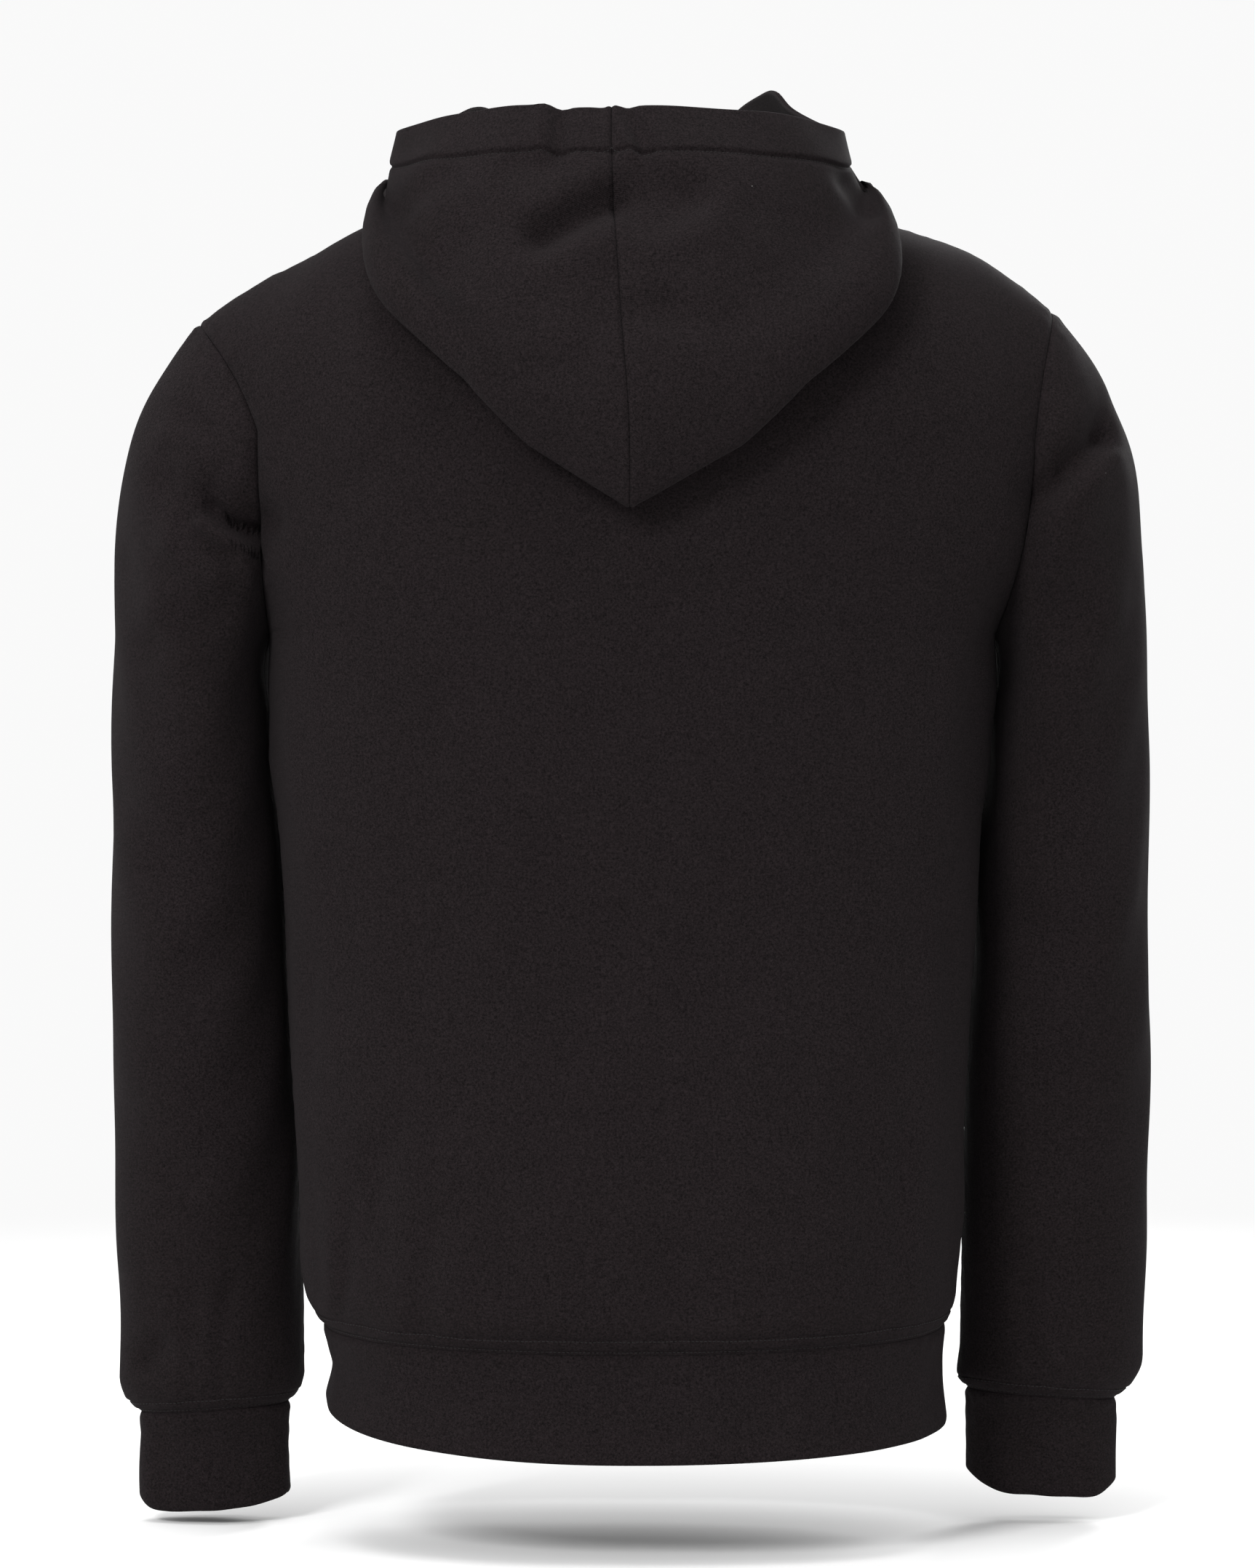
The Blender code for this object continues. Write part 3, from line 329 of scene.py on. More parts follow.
def sleeve(side, angle, along):
    """Sleeve: along 0 at the armhole, 1 at the biceps, 2 at the cuff seam."""
    angle, along = np.broadcast_arrays(np.asarray(angle, float), np.asarray(along, float))
    start = armhole(side, angle)
    end = arm_section(side, angle, np.zeros_like(along))
    reach = np.linalg.norm(end - start, axis=-1, keepdims=True)
    outside = (1 + np.cos(angle)) / 2
    leave = unit(stack(side * (0.40 + 0.28 * outside), 0.34 * np.sin(angle), -1 + 0.22 * outside))
    f = np.clip(along, 0, 1)[..., None]
    cap = (
        start * (1 + 2 * f) * (1 - f) ** 2
        + end * f * f * (3 - 2 * f)
        + 1.15 * reach * f * (1 - f) * ((1 - f) * leave - f * DOWN)
    )
    arm = arm_section(side, angle, np.clip(along - 1, 0, 1))
    return np.where((along < 1)[..., None], cap, arm)


def normals_of(points):
    """Outward unit normals of a grid whose rows and columns run so that their cross product points
    out: at each point, the sum over its faces of the cross product of their diagonals."""
    face = np.cross(points[1:, 1:] - points[:-1, :-1], points[1:, :-1] - points[:-1, 1:])
    total = np.zeros(points.shape)
    for row in (0, 1):
        for column in (0, 1):
            total[row : row + len(face), column : column + face.shape[1]] += face
    return unit(total)


def paced(length, first=0.0, last=0.0, coarse=0.0036, finest=0.0007):
    """Shares from 0 to 1 along a length: steps of the coarse size that shrink to the finest over
    `first` metres at the start and `last` metres at the end, growing by a quarter of the way."""
    places = [0.0]
    while places[-1] < length:
        here = places[-1]
        away = [here - first] * (first > 0) + [length - last - here] * (last > 0)
        places.append(here + min([coarse, *(finest + max(gap, 0) / 4 for gap in away)]))
    return np.array(places) / places[-1]


def run_length(points):
    """Distance along a line of points from its first."""
    steps = np.linalg.norm(np.diff(points, axis=0), axis=-1)
    return np.concatenate([np.zeros((1, *steps.shape[1:])), np.cumsum(steps, axis=0)])


def from_edge(points, edge):
    """Distance over the cloth of each point of a grid from one of its four edges."""
    if edge in ("first", "last"):
        return from_edge(points.swapaxes(0, 1), "bottom" if edge == "first" else "top").T
    length = run_length(points)
    return length if edge == "bottom" else length[-1] - length


WAVES = 7


def ripple(points, size, seed):
    """A smooth uneven field from about -1 to 1: the sum of sine waves of about this wavelength,
    each along a direction and from a phase that the seed gives. Size may differ by axis."""
    random = np.random.default_rng(seed)
    total = 0
    for _ in range(WAVES):
        way = unit(random.normal(size=3)) * random.uniform(0.7, 1.5)
        phase = points / np.asarray(size) @ way * 2 * math.pi + random.uniform(0, 6.28)
        total = total + np.sin(phase)
    return total / math.sqrt(WAVES)


UNEVEN, UNEVEN_WAVE = 0.22, 0.055  # how much a crease's depth varies, and over what length
RIDGE_AWAY = 1.9  # from a crease to the ridge beside it, in widths of the crease


def creased(points, normals, creases):
    """Pushes cloth in along creases: a bell across the line from (x1, z1) to (x2, z2), bowed to one
    side and easing out past its ends, uneven in depth, with a lower ridge beside it."""
    push = np.zeros(points.shape[:-1])
    uneven = 1 + UNEVEN * ripple(points, UNEVEN_WAVE, 3)
    for side, x1, z1, x2, z2, width, depth, *more in zip(*creases.values()):
        bow, ridge = more or (0, 0)
        run = np.array([x2 - x1, z2 - z1])
        long = np.linalg.norm(run)
        offset = points[..., [0, 2]] - np.array([x1, z1])
        along = offset @ run / long
        beside = offset @ np.array([-run[1], run[0]]) / long
        share = np.clip(along / long, 0, 1)
        beside = beside - bow * 4 * share * (1 - share)
        beyond = along - share * long
        facing = ease(normals[..., 1] * side / 0.5)
        bell = np.exp(-(beside**2 + beyond**2) / width**2)
        shoulder = np.exp(-((beside - RIDGE_AWAY * width) ** 2 + beyond**2) / width**2)
        push += depth * facing * uneven * (bell - ridge * shoulder)
    return points - normals * push[..., None]


def laid(way, edge):
    """Vectors along an edge of a grid, with the axis that lays them over the grid."""
    return way[None] if edge in ("bottom", "top") else way[:, None]


def shared(points, seams, reach=0.03):
    """A grid's normals, turned over the last `reach` metres before a seam into the seam's own way
    out, so that folds move the two pieces on it alike."""
    normals = normals_of(points)
    for edge, way in seams.items():
        part = (1 - ease(from_edge(points, edge) / reach))[..., None]
        normals = normals + (-laid(way, edge) - normals) * part
    return unit(normals)


def draped(points, seams, waves, seed, high, calm, *tables):
    """Cloth with soft swells of these wave lengths and height, which die out over the distances in
    `calm` from its edges, and the creases of each table. Gives its normals from before, too."""
    normals = shared(points, seams)
    swell = ripple(points, waves, seed) * high
    for edge, reach in calm.items():
        swell = swell * ease(from_edge(points, edge) / reach)
    points = points + normals * swell[..., None]
    for creases in tables:
        points = creased(points, normals, creases)
    return points, normals


PUCKER, PUCKER_REACH = 0.00035, 0.011  # their height, and how far from the seam they run out
SEAM_LAP = 0.00007  # by which each piece passes its seam, so that no light shows through


def rolled(points, seams, sink=0.0013, reach=0.0042, flat=None):
    """Turns the cloth in at its seams, as far as `sink` over the last `reach` metres, with faint
    puckers beside them. Each seam gives the way in at its edge, the same for both pieces, and
    `flat` gives the share of `sink` at edges that are pressed flat."""
    moved = points.copy()
    for edge, way in seams.items():
        away = from_edge(points, edge)
        down = sink * (flat or {}).get(edge, 1.0) * (1 - np.clip(away / reach, 0, 1)) ** 2
        fading = ease(away / 0.004) * np.exp(-((away / PUCKER_REACH) ** 2))
        down = down - PUCKER * ripple(points, PUCKER_REACH, 5) * fading
        moved += laid(way, edge) * down[..., None]
        into = np.gradient(points, axis=0 if edge in ("bottom", "top") else 1)
        into = unit(into) * (1 if edge in ("bottom", "first") else -1)
        moved -= into * (SEAM_LAP * (1 - ease(away / 0.003)))[..., None]
    return moved


def channelled(points, normals, edge, rows, depth=0.0008, width=0.0010):
    """Draws the cloth in along rows of stitching at these distances from an edge."""
    away = from_edge(points, edge)
    push = sum(depth * np.exp(-(((away - row) / width) ** 2)) for row in rows)
    return points - normals * push[..., None]


def row_on(points, edge, distance):
    """The line on a grid of cloth at a distance from one of its edges, and its normals there."""
    normals = normals_of(points)
    if edge in ("first", "last"):
        points, normals = points.swapaxes(0, 1), normals.swapaxes(0, 1)
    if edge in ("top", "last"):
        points, normals = points[::-1], normals[::-1]
    away = run_length(points)
    below = np.clip((away < distance).sum(axis=0) - 1, 0, len(away) - 2)
    column = np.arange(points.shape[1])
    near, far = away[below, column], away[below + 1, column]
    part = ((distance - near) / (far - near))[:, None]
    line = points[below, column] + (points[below + 1, column] - points[below, column]) * part
    return line, unit(normals[below, column] * (1 - part) + normals[below + 1, column] * part)


def on_line(at, length, line):
    """Points of a line, or its normals, at distances along it."""
    return np.stack([np.interp(at, length, line[:, k]) for k in range(3)], -1)


def faces_of(index):
    """The four-sided faces of a grid of point numbers."""
    corners = [index[:-1, :-1], index[:-1, 1:], index[1:, 1:], index[1:, :-1]]
    return np.stack(corners, axis=-1).reshape(-1, 4)


def repeated(faces, count, points):
    """The faces of one small form, repeated for `count` forms of so many points each."""
    return (faces[None] + (np.arange(count) * points)[:, None, None]).reshape(-1, 4)


def shaped(name, points, quads, *finishes):
    """A piece of points (..., 3) and four-sided faces (M, 4), all smooth, with its materials."""
    mesh = bpy.data.meshes.new(name)
    corners = quads.astype(np.int32)
    mesh.vertices.add(points.size // 3)
    mesh.vertices.foreach_set("co", points.astype(np.float32).ravel())
    mesh.loops.add(corners.size)
    mesh.loops.foreach_set("vertex_index", corners.ravel())
    mesh.polygons.add(len(corners))
    mesh.polygons.foreach_set("loop_start", np.arange(0, corners.size, 4, dtype=np.int32))
    mesh.update(calc_edges=True)
    mesh.shade_smooth()
    for finish in finishes:
        mesh.materials.append(finish)
    piece = bpy.data.objects.new(name, mesh)
    scene.collection.objects.link(piece)
    return piece


def keep_cut(piece, quads, cut):
    """Keeps each point's place in the flat cut, for the piece's material."""
    layer = piece.data.uv_layers.new(name="cut")
    layer.uv.foreach_set("vector", cut.reshape(-1, 2)[quads.ravel()].ravel())


STITCH = 0.0023  # from one needle hole to the next
THREAD = 0.00021  # half the thread's thickness
THREAD_FLAT = 1.25  # its width over its thickness
STITCH_ALONG = np.array([0.10, 0.24, 0.5, 0.76, 0.90])  # rings of a stitch, as parts of its length
STITCH_LIFT = np.array([-0.00026, 0.0, 0.00006, 0.0, -0.00026])  # of each ring over the cloth
STITCH_SIZE = np.array([0.55, 1.0, 1.0, 1.0, 0.55])  # of each ring, as parts of the thread's
STITCH_SIDES = 6


def stitches(name, rows):
    """Rows of stitches as one mesh. Each stitch is a short tube of thread along the line, dipping
    into the cloth at both ends: rings of six points round the line, joined and capped."""
    centres, ups, sides = [], [], []
    for line, normals in rows:
        length = run_length(line)
        count = int(length[-1] / STITCH)
        at = (np.arange(count)[:, None] + STITCH_ALONG[None]) * length[-1] / count
        place = on_line(at, length, line)
        up = unit(on_line(at, length, normals))
        centres.append(place + up * STITCH_LIFT[None, :, None])
        ups.append(up)
        sides.append(unit(np.cross(np.gradient(place, axis=1), up)))
    centre, up, side = (np.concatenate(parts)[:, :, None] for parts in (centres, ups, sides))
    turn = (np.arange(STITCH_SIDES) * 2 * math.pi / STITCH_SIDES)[None, None, :, None]
    size = (STITCH_SIZE * THREAD)[None, :, None, None]
    points = centre + size * (np.cos(turn) * side * THREAD_FLAT + np.sin(turn) * up)
    rings = len(STITCH_ALONG)
    ring, corner = np.meshgrid(np.arange(rings - 1), np.arange(STITCH_SIDES), indexing="ij")
    a = ring * STITCH_SIDES + corner
    b = ring * STITCH_SIDES + (corner + 1) % STITCH_SIDES
    tube = np.stack([a, b, b + STITCH_SIDES, a + STITCH_SIDES], -1).reshape(-1, 4)
    start = np.array([[3, 2, 1, 0], [5, 4, 3, 0]])
    end = np.array([[0, 1, 2, 3], [0, 3, 4, 5]]) + (rings - 1) * STITCH_SIDES
    quads = repeated(np.concatenate([tube, start, end]), len(centre), rings * STITCH_SIDES)
    piece = shaped(name, points, quads, thread)
    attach(piece, "garment")
    return piece


def cut_of(points, across):
    """A grid's places in the flat cut, which the knit follows: metres across and up from its
    bottom."""
    return stack(across[None], from_edge(points, "bottom").mean(1)[:, None])


SEAM_THIN, SEAM_THIN_REACH = 0.3, 0.005  # share of its thickness that cloth has at a seam
EDGE_THIN = 0.25  # and at the very rim of a free edge


def cloth(name, points, thick, seams, free, cut, casing=None):
    """A piece of cloth as a closed wall. The grid is its outer face; the inner face lies `thick`
    under it, thinner into a seam, and at a free edge the two are rounded into each other."""
    normals = normals_of(points)
    depth = thick * np.ones(points.shape[:2]) if casing is None else casing
    for edge in seams:
        fuller = ease(from_edge(points, edge) / SEAM_THIN_REACH)
        depth = depth * (SEAM_THIN + (1 - SEAM_THIN) * fuller)
    rounding = np.ones(points.shape[:2])
    for edge in free:
        near = np.clip(from_edge(points, edge) / (depth / 2), 0, 1)
        rounding = rounding * np.sqrt(1 - (1 - near) ** 2).clip(EDGE_THIN, 1)
    middle = points - normals * (depth / 2)[..., None]
    half = normals * (depth / 2 * rounding)[..., None]
    index = np.arange(depth.size).reshape(depth.shape)
    other = index + index.size
    rim = [np.stack([other[0], index[0]]), np.stack([index[-1], other[-1]])]
    rim += [np.stack([index[:, 0], other[:, 0]]), np.stack([other[:, -1], index[:, -1]])]
    parts = [faces_of(grid) for grid in (index, other[:, ::-1], *rim)]
    quads = np.concatenate(parts)
    piece = shaped(name, np.stack([middle + half, middle - half]), quads, fleece, lining_face)
    inside = np.repeat([0, 1] + [0] * len(rim), [len(part) for part in parts])
    piece.data.polygons.foreach_set("material_index", inside.astype(np.int32))
    keep_cut(piece, quads, np.stack([cut, cut]))
    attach(piece, "garment")
    return piece


def outward_at_hole(side, angle):
    """The way out at the armhole, halfway between the torso's and the sleeve's own."""
    step = 0.01
    run = armhole(side, angle + step) - armhole(side, angle - step)
    down = sleeve(side, angle, 0.02) - armhole(side, angle)
    arm = unit(np.cross(run, down)) * side
    levels = (3 - angle / QUARTER, 1 + (angle - math.pi) / QUARTER)
    behind, before = (
        panel_out(face, side, 1.0, np.clip(level, 1.0, 2.99))
        for face, level in zip((BACK, FRONT), levels)
    )
    body = np.where((angle <= math.pi)[:, None], behind, before)
    away = armhole(side, angle) - ARMHOLE_MIDDLE[side]
    return unit(arm * np.sign((arm * away).sum(-1, keepdims=True)) + body)


def toward(points, target):
    """The unit way from each point to a target point or points."""
    return unit(np.broadcast_to(target, points.shape) - points)


def armhole_share(level):
    """How far a level on the side edge belongs to the armhole: 0 up to 0.90, 1 from 1."""
    return ease((level - 0.90) / 0.10)


def side_way(face, side, level):
    """The way in at a torso panel's side: straight across at the side seam, and against the seam's
    way out round the armhole."""
    angle = np.clip((3 - level) if face == BACK else (1 + level), 0, 4) * QUARTER
    hole = -outward_at_hole(side, np.where(level < 1, math.pi, angle))
    across = stack(-side, 0, 0)
    return unit(across + (hole - across) * armhole_share(level)[:, None])


def hem_way(edge):
    return toward(edge, edge * np.array([0, 0, 1]))


class Value:
    """A number that varies over a surface. Python's signs on it add the Math node of that name."""

    def __init__(self, tree, socket):
        self.tree, self.socket = tree, socket

    def maths(self, operation, *values):
        return add(self.tree, "ShaderNodeMath", {"operation": operation}, dict(enumerate(values)))

    def __rsub__(self, other):
        return self.maths("SUBTRACT", other, self)

    def part(self):
        return self.maths("FRACT", self)

    def size(self):
        return self.maths("ABSOLUTE", self)

    def wave(self):
        return self.maths("SINE", self)

    def clamped(self):
        return self.maths("MINIMUM", self.maths("MAXIMUM", self, 0.0), 1.0)


def sign(operation):
    return lambda self, other: self.maths(operation, self, other)


Value.__add__ = Value.__radd__ = sign("ADD")
Value.__mul__ = Value.__rmul__ = sign("MULTIPLY")
Value.__sub__, Value.__truediv__ = sign("SUBTRACT"), sign("DIVIDE")
Value.__gt__ = sign("GREATER_THAN")


def plug(tree, node, values):
    """Gives a node's sockets these values, or links them to these."""
    for key, value in values.items():
        if isinstance(value, Value):
            tree.links.new(value.socket, node.inputs[key])
        else:
            node.inputs[key].default_value = value


def add(tree, kind, settings, values, output=0):
    """A node of a kind with its settings and its sockets' values or links, as its output."""
    node = tree.nodes.new(kind)
    for key, value in settings.items():
        setattr(node, key, value)
    plug(tree, node, values)
    return Value(tree, node.outputs[output])


def finish_named(name):
    """A new material, its node tree, its Principled shader and the place on the object."""
    made = bpy.data.materials.new(name)
    made.use_nodes = True
    tree = made.node_tree
    place = add(tree, "ShaderNodeTexCoord", {}, {}, "Object")
    return made, tree, tree.nodes["Principled BSDF"], place


def cut_place(tree):
    """The place in the flat cut: metres across and along."""
    cut = add(tree, "ShaderNodeUVMap", {"uv_map": "cut"}, {})
    return [add(tree, "ShaderNodeSeparateXYZ", {}, {0: cut}, axis) for axis in (0, 1)]


def mixed(tree, share, low, high):
    """The colour between two colours at a share."""
    return add(tree, "ShaderNodeMix", {"data_type": "RGBA"}, {0: share, 6: low, 7: high}, 2)


def noise(tree, place, scale, detail=2.0, rough=0.5):
    values = {"Vector": place, "Scale": scale, "Detail": detail, "Roughness": rough}
    return add(tree, "ShaderNodeTexNoise", {}, values)


def bumped(tree, height, strength, distance):
    values = {"Strength": strength, "Distance": distance, "Height": height}
    return add(tree, "ShaderNodeBump", {}, values)


WALE = 0.00088  # width of one column of knit loops
COURSE = 0.00066  # height of one row of them
LINT_SCALE = 46.0  # places for a speck of lint along a metre
LINT_RARE = 0.80  # the share of them that stays empty
LINT_COLOUR = (0.30, 0.29, 0.28, 1.0)


def knit(name, deep, high, lint, brushed=False):
    """Sweatshirt fleece. Outside, each wale is a column of V-shaped loops, under a thin fuzz with
    specks of lint; brushed, as inside, it is all fuzz."""
    made, tree, shader, place = finish_named(name)
    across, along = cut_place(tree)
    fuzz = noise(tree, place, 2100.0, 2.0, 0.6)
    fibre = noise(tree, place, 850.0, 3.0, 0.6)
    if brushed:
        height = fuzz * 0.5 + fibre
        tone = (fibre * 0.6 + fuzz * 0.5 - 0.1).clamped()
    else:
        patch = noise(tree, place, 45.0, 4.0, 0.6)
        wobble = noise(tree, place, 55.0, 2.0) * 0.9
        leg = ((across / WALE + wobble).part() - 0.5).size()
        loop = ((along / COURSE + leg * 1.1 + wobble).part() * math.pi).wave()
        ridge = 1 - (leg - 0.25).size() * 4
        loops = ridge * (0.45 + loop * 0.55)
        height = loops * 0.5 + fuzz * 0.35 + fibre * 0.55
        tone = (loops * 0.32 + fuzz * 0.7 + fibre * 1.5 + patch * 0.12 - 0.90).clamped()
    cells = {"Vector": place, "Scale": LINT_SCALE}
    away = add(tree, "ShaderNodeTexVoronoi", {"feature": "F1"}, cells)
    lot = add(tree, "ShaderNodeTexVoronoi", {"feature": "F1"}, cells, "Color")
    chosen = add(tree, "ShaderNodeSeparateColor", {}, {0: lot}, 0) > LINT_RARE
    size = add(tree, "ShaderNodeSeparateColor", {}, {0: lot}, 1) * 0.012 + 0.004
    speck = (size > away) * chosen * lint
    plug(tree, shader, {
        "Base Color": mixed(tree, speck, mixed(tree, tone, deep, high), LINT_COLOUR),
        "Normal": bumped(tree, height, 0.75, 0.00035),
        "Roughness": 0.86 + fibre * 0.12,
        "Specular IOR Level": 0.05,
        "Sheen Weight": 0.012,
        "Sheen Roughness": 0.45,
        "Sheen Tint": (0.90, 0.86, 0.88, 1.0),
    })
    return made


def thread_finish(name, deep, high):
    """Spun polyester sewing thread: a soft gloss, twisted, a little paler in places."""
    made, tree, shader, place = finish_named(name)
    twist = noise(tree, place, 2400.0, 1.0)
    patch = noise(tree, place, 160.0, 2.0)
    plug(tree, shader, {
        "Base Color": mixed(tree, (twist * 0.7 + patch * 0.6 - 0.15).clamped(), deep, high),
        "Normal": bumped(tree, twist, 0.5, 0.0001),
        "Roughness": 0.55 + patch * 0.25,
        "Specular IOR Level": 0.25,
    })
    return made


thread = thread_finish("black_thread", (0.0020, 0.0017, 0.0018, 1.0), (0.0100, 0.0083, 0.0087, 1.0))
fleece = knit("body_fleece", (0.0023, 0.00174, 0.00187, 1.0), (0.0206, 0.0158, 0.0170, 1.0), 0.9)
deep, high = (0.006, 0.005, 0.005, 1.0), (0.028, 0.025, 0.026, 1.0)
lining_face = knit("fleece_inside", deep, high, 0.0, brushed=True)

marks = np.linspace(1, 3, 60)
ARMHOLE_MIDDLE = {
    side: np.concatenate([panel(face, side, 1.0, marks) for face in (BACK, FRONT)]).mean(axis=0)
    for side in (LEFT, RIGHT)
}


def stepped(marks, line, *pace):
    """The marks that part a line as `paced` does, from its points at these marks."""
    length = run_length(line)
    return np.interp(paced(length[-1], *pace) * length[-1], length, marks)


marks = np.linspace(0, 3, 900)
LEVELS = stepped(marks, panel(BACK, LEFT, 0.45, marks), 0.013, 0.004)
HALF_CUT = 0.252  # half a panel's width in the cut
SHARES = paced(HALF_CUT, 0.0, 0.004)
HEM_ROWS = (0.0018, 0.0092)  # the twin needle's two rows over the hem band's seam
PRESSED = 0.33  # the share of a seam's sink where it is pressed flat, as under the arms
SIDE_SINK = (PRESSED + (1 - PRESSED) * armhole_share(LEVELS))[:, None]
# Places where the sides lie full against the sleeves: height, spread up and down, and how far out.
SIDE_SWELLS = table("""
side height spread out
   1   -264     20 2.4
   1   -305     24   4
   1   -590     26 3.6
  -1   -266     23 4.8
  -1   -305     24   4
  -1   -560     34 4.6
""")


def torso_cloth(points, seams):
    """The drape of a torso panel: its creases, long soft swells that hang down it, the full places
    at its sides, and the rows over the hem band's seam."""
    normals = shared(points, seams)
    long_swell = ripple(points, (0.085, 0.085, 0.30), 11) * 0.0009
    swell = long_swell + ripple(points, (0.04, 0.04, 0.12), 12) * 0.0003
    swell = swell * ease((0.02 - points[..., 2]) / 0.05) * ease(from_edge(points, "bottom") / 0.02)
    points = points + normals * swell[..., None]
    points = creased(creased(points, normals, CREASES), normals, FOLDS)
    side_edges = [edge for edge in ("first", "last") if edge in seams]
    beside = sum(1 - ease(from_edge(points, edge) / 0.05) for edge in side_edges)
    beside = beside * ease(from_edge(points, "bottom") / 0.018)
    for side, height, spread, out in zip(*SIDE_SWELLS.values()):
        here = np.exp(-(((points[..., 2] - height) / spread) ** 2))
        here = here * beside * (points[..., 0] * side > 0)
        points = points + stack(side * out, 0, 0) * here[..., None]
    return channelled(points, normals_of(points), "bottom", HEM_ROWS)


share = np.concatenate([-SHARES[:0:-1], SHARES])
level = np.broadcast_to(LEVELS[:, None], (len(LEVELS), len(share)))
on_right = share < 0
outer = np.where(
    on_right[None, :, None],
    panel(BACK, RIGHT, abs(share)[None], level),
    panel(BACK, LEFT, abs(share)[None], level),
)
# Seen from behind, the wearer's left is on the left, so columns run from left to right.
outer, share = outer[:, ::-1], share[::-1]
seams = {
    "bottom": hem_way(outer[0]),
    "top": np.broadcast_to(DOWN, outer[-1].shape),
    "first": side_way(BACK, LEFT, LEVELS),
    "last": side_way(BACK, RIGHT, LEVELS),
}
outer = torso_cloth(outer, seams)
outer = rolled(outer, seams, flat={"first": SIDE_SINK, "last": SIDE_SINK})
back = cloth("back_panel", outer, FLEECE, seams, (), cut_of(outer, share * HALF_CUT))
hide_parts("back")
back_rows = stitches("back_hem_stitches", [row_on(outer, "bottom", row) for row in HEM_ROWS])


# ---------------------------------------------------------------- fronts
# Two panels of the same fleece, each turned under along the zip. They are sewn to the back at
# the shoulders and sides, and each is stitched to its half of the zip with one row.
FRONT_SHARES = paced(HALF_CUT, 0.005, 0.004)
ZIP_ROW = 0.0045
for side, word in SIDES:
    share = FRONT_SHARES if side == LEFT else FRONT_SHARES[::-1]
    outer = panel(FRONT, side, share[None], LEVELS[:, None])
    side_edge, free_edge = ("last", "first") if side == LEFT else ("first", "last")
    seams = {
        "bottom": hem_way(outer[0]),
        "top": np.broadcast_to(DOWN, outer[-1].shape),
        side_edge: side_way(FRONT, side, LEVELS),
    }
    outer = torso_cloth(outer, seams)
    outer = channelled(outer, normals_of(outer), free_edge, (ZIP_ROW,), 0.0004)
    outer = rolled(outer, seams, flat={side_edge: SIDE_SINK})
    cut = cut_of(outer, share * HALF_CUT)
    front = cloth(f"front_panel_{word}", outer, FLEECE, seams, (free_edge,), cut)
    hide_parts(f"front_{word}")
    rows = [row_on(outer, "bottom", row) for row in HEM_ROWS] + [row_on(outer, free_edge, ZIP_ROW)]
    front_rows = stitches(f"front_stitches_{word}", rows)


# ---------------------------------------------------------------- sleeves
# Each sleeve is one piece of fleece with a seam under the arm, set into the armhole, and it
# blouses a little over the cuff, which draws its end in.
SLEEVE_FOLDS = table("""
side   x1   z1   x2   z2 width depth bow ridge
   1  232 -167  202 -182   4.8    11   2   0.7
   1  246 -176  222 -194     7     5   2   0.7
   1  243 -117  224 -142     8     4  -2   0.6
   1  232 -150  252 -135     7     2   2   0.5
   1  220 -215  262 -240    10   2.2  -4   0.4
   1  284 -200  262 -290    12   1.8   4   0.3
   1  205 -400  245 -430    13   1.6   4   0.3
   1  285 -330  255 -372    14   1.4  -4   0.3
   1  284 -500  252 -540    13   1.4   4   0.3
   1  225 -600  232 -664     6   1.4   2   0.5
   1  250 -610  247 -666     6   1.2  -2   0.5
   1 -214 -168 -260 -129   6.2   6.2   1   0.5
   1 -236 -140 -268 -106     8   1.8   3   0.5
   1 -226 -215 -264 -240    10     2   4   0.4
   1 -286 -210 -264 -290    12   1.6  -4   0.3
   1 -210 -390 -248 -420    13   1.5  -4   0.3
   1 -286 -480 -256 -520    13   1.3  -4   0.3
   1 -226 -600 -231 -656     6   1.4   2   0.5
   1 -262 -600 -260 -656     6   1.2  -2   0.5
  -1  206 -330  252 -372    14     3   6   0.4
  -1  212 -372  262 -384    12   2.4  -4   0.4
  -1  230 -590  236 -664     7   1.6   2   0.5
  -1  260 -600  258 -666     6   1.4  -2   0.5
  -1 -208 -330 -254 -366    14   2.8  -6   0.4
  -1 -214 -372 -264 -386    12   2.4   4   0.4
  -1 -230 -590 -236 -656     7   1.6   2   0.5
  -1 -262 -600 -259 -656     6   1.4  -2   0.5
""")


def tube_way(points):
    """The way in at the end ring of a tube of cloth: to the ring's middle."""
    return toward(points, points[:-1].mean(axis=0))


def tube_of(outer, angle):
    """A closed tube of cloth, its rows running up from the wrist and its face outward, with the
    angles of its columns and the way in at its seam under the arm."""
    outer[:, -1] = outer[:, 0]
    outer = outer[::-1]
    hub = outer[:, :-1].mean(axis=1, keepdims=True)
    if (normals_of(outer) * (outer - hub)).sum() < 0:
        outer, angle = outer[:, ::-1], angle[::-1]
    return outer, angle, toward(outer[:, 0], hub[:, 0])


CUFF_ROWS = (0.0018, 0.0088)  # the twin needle's two rows over the cuff seam
UNDER_ARM = {"first": PRESSED, "last": PRESSED}
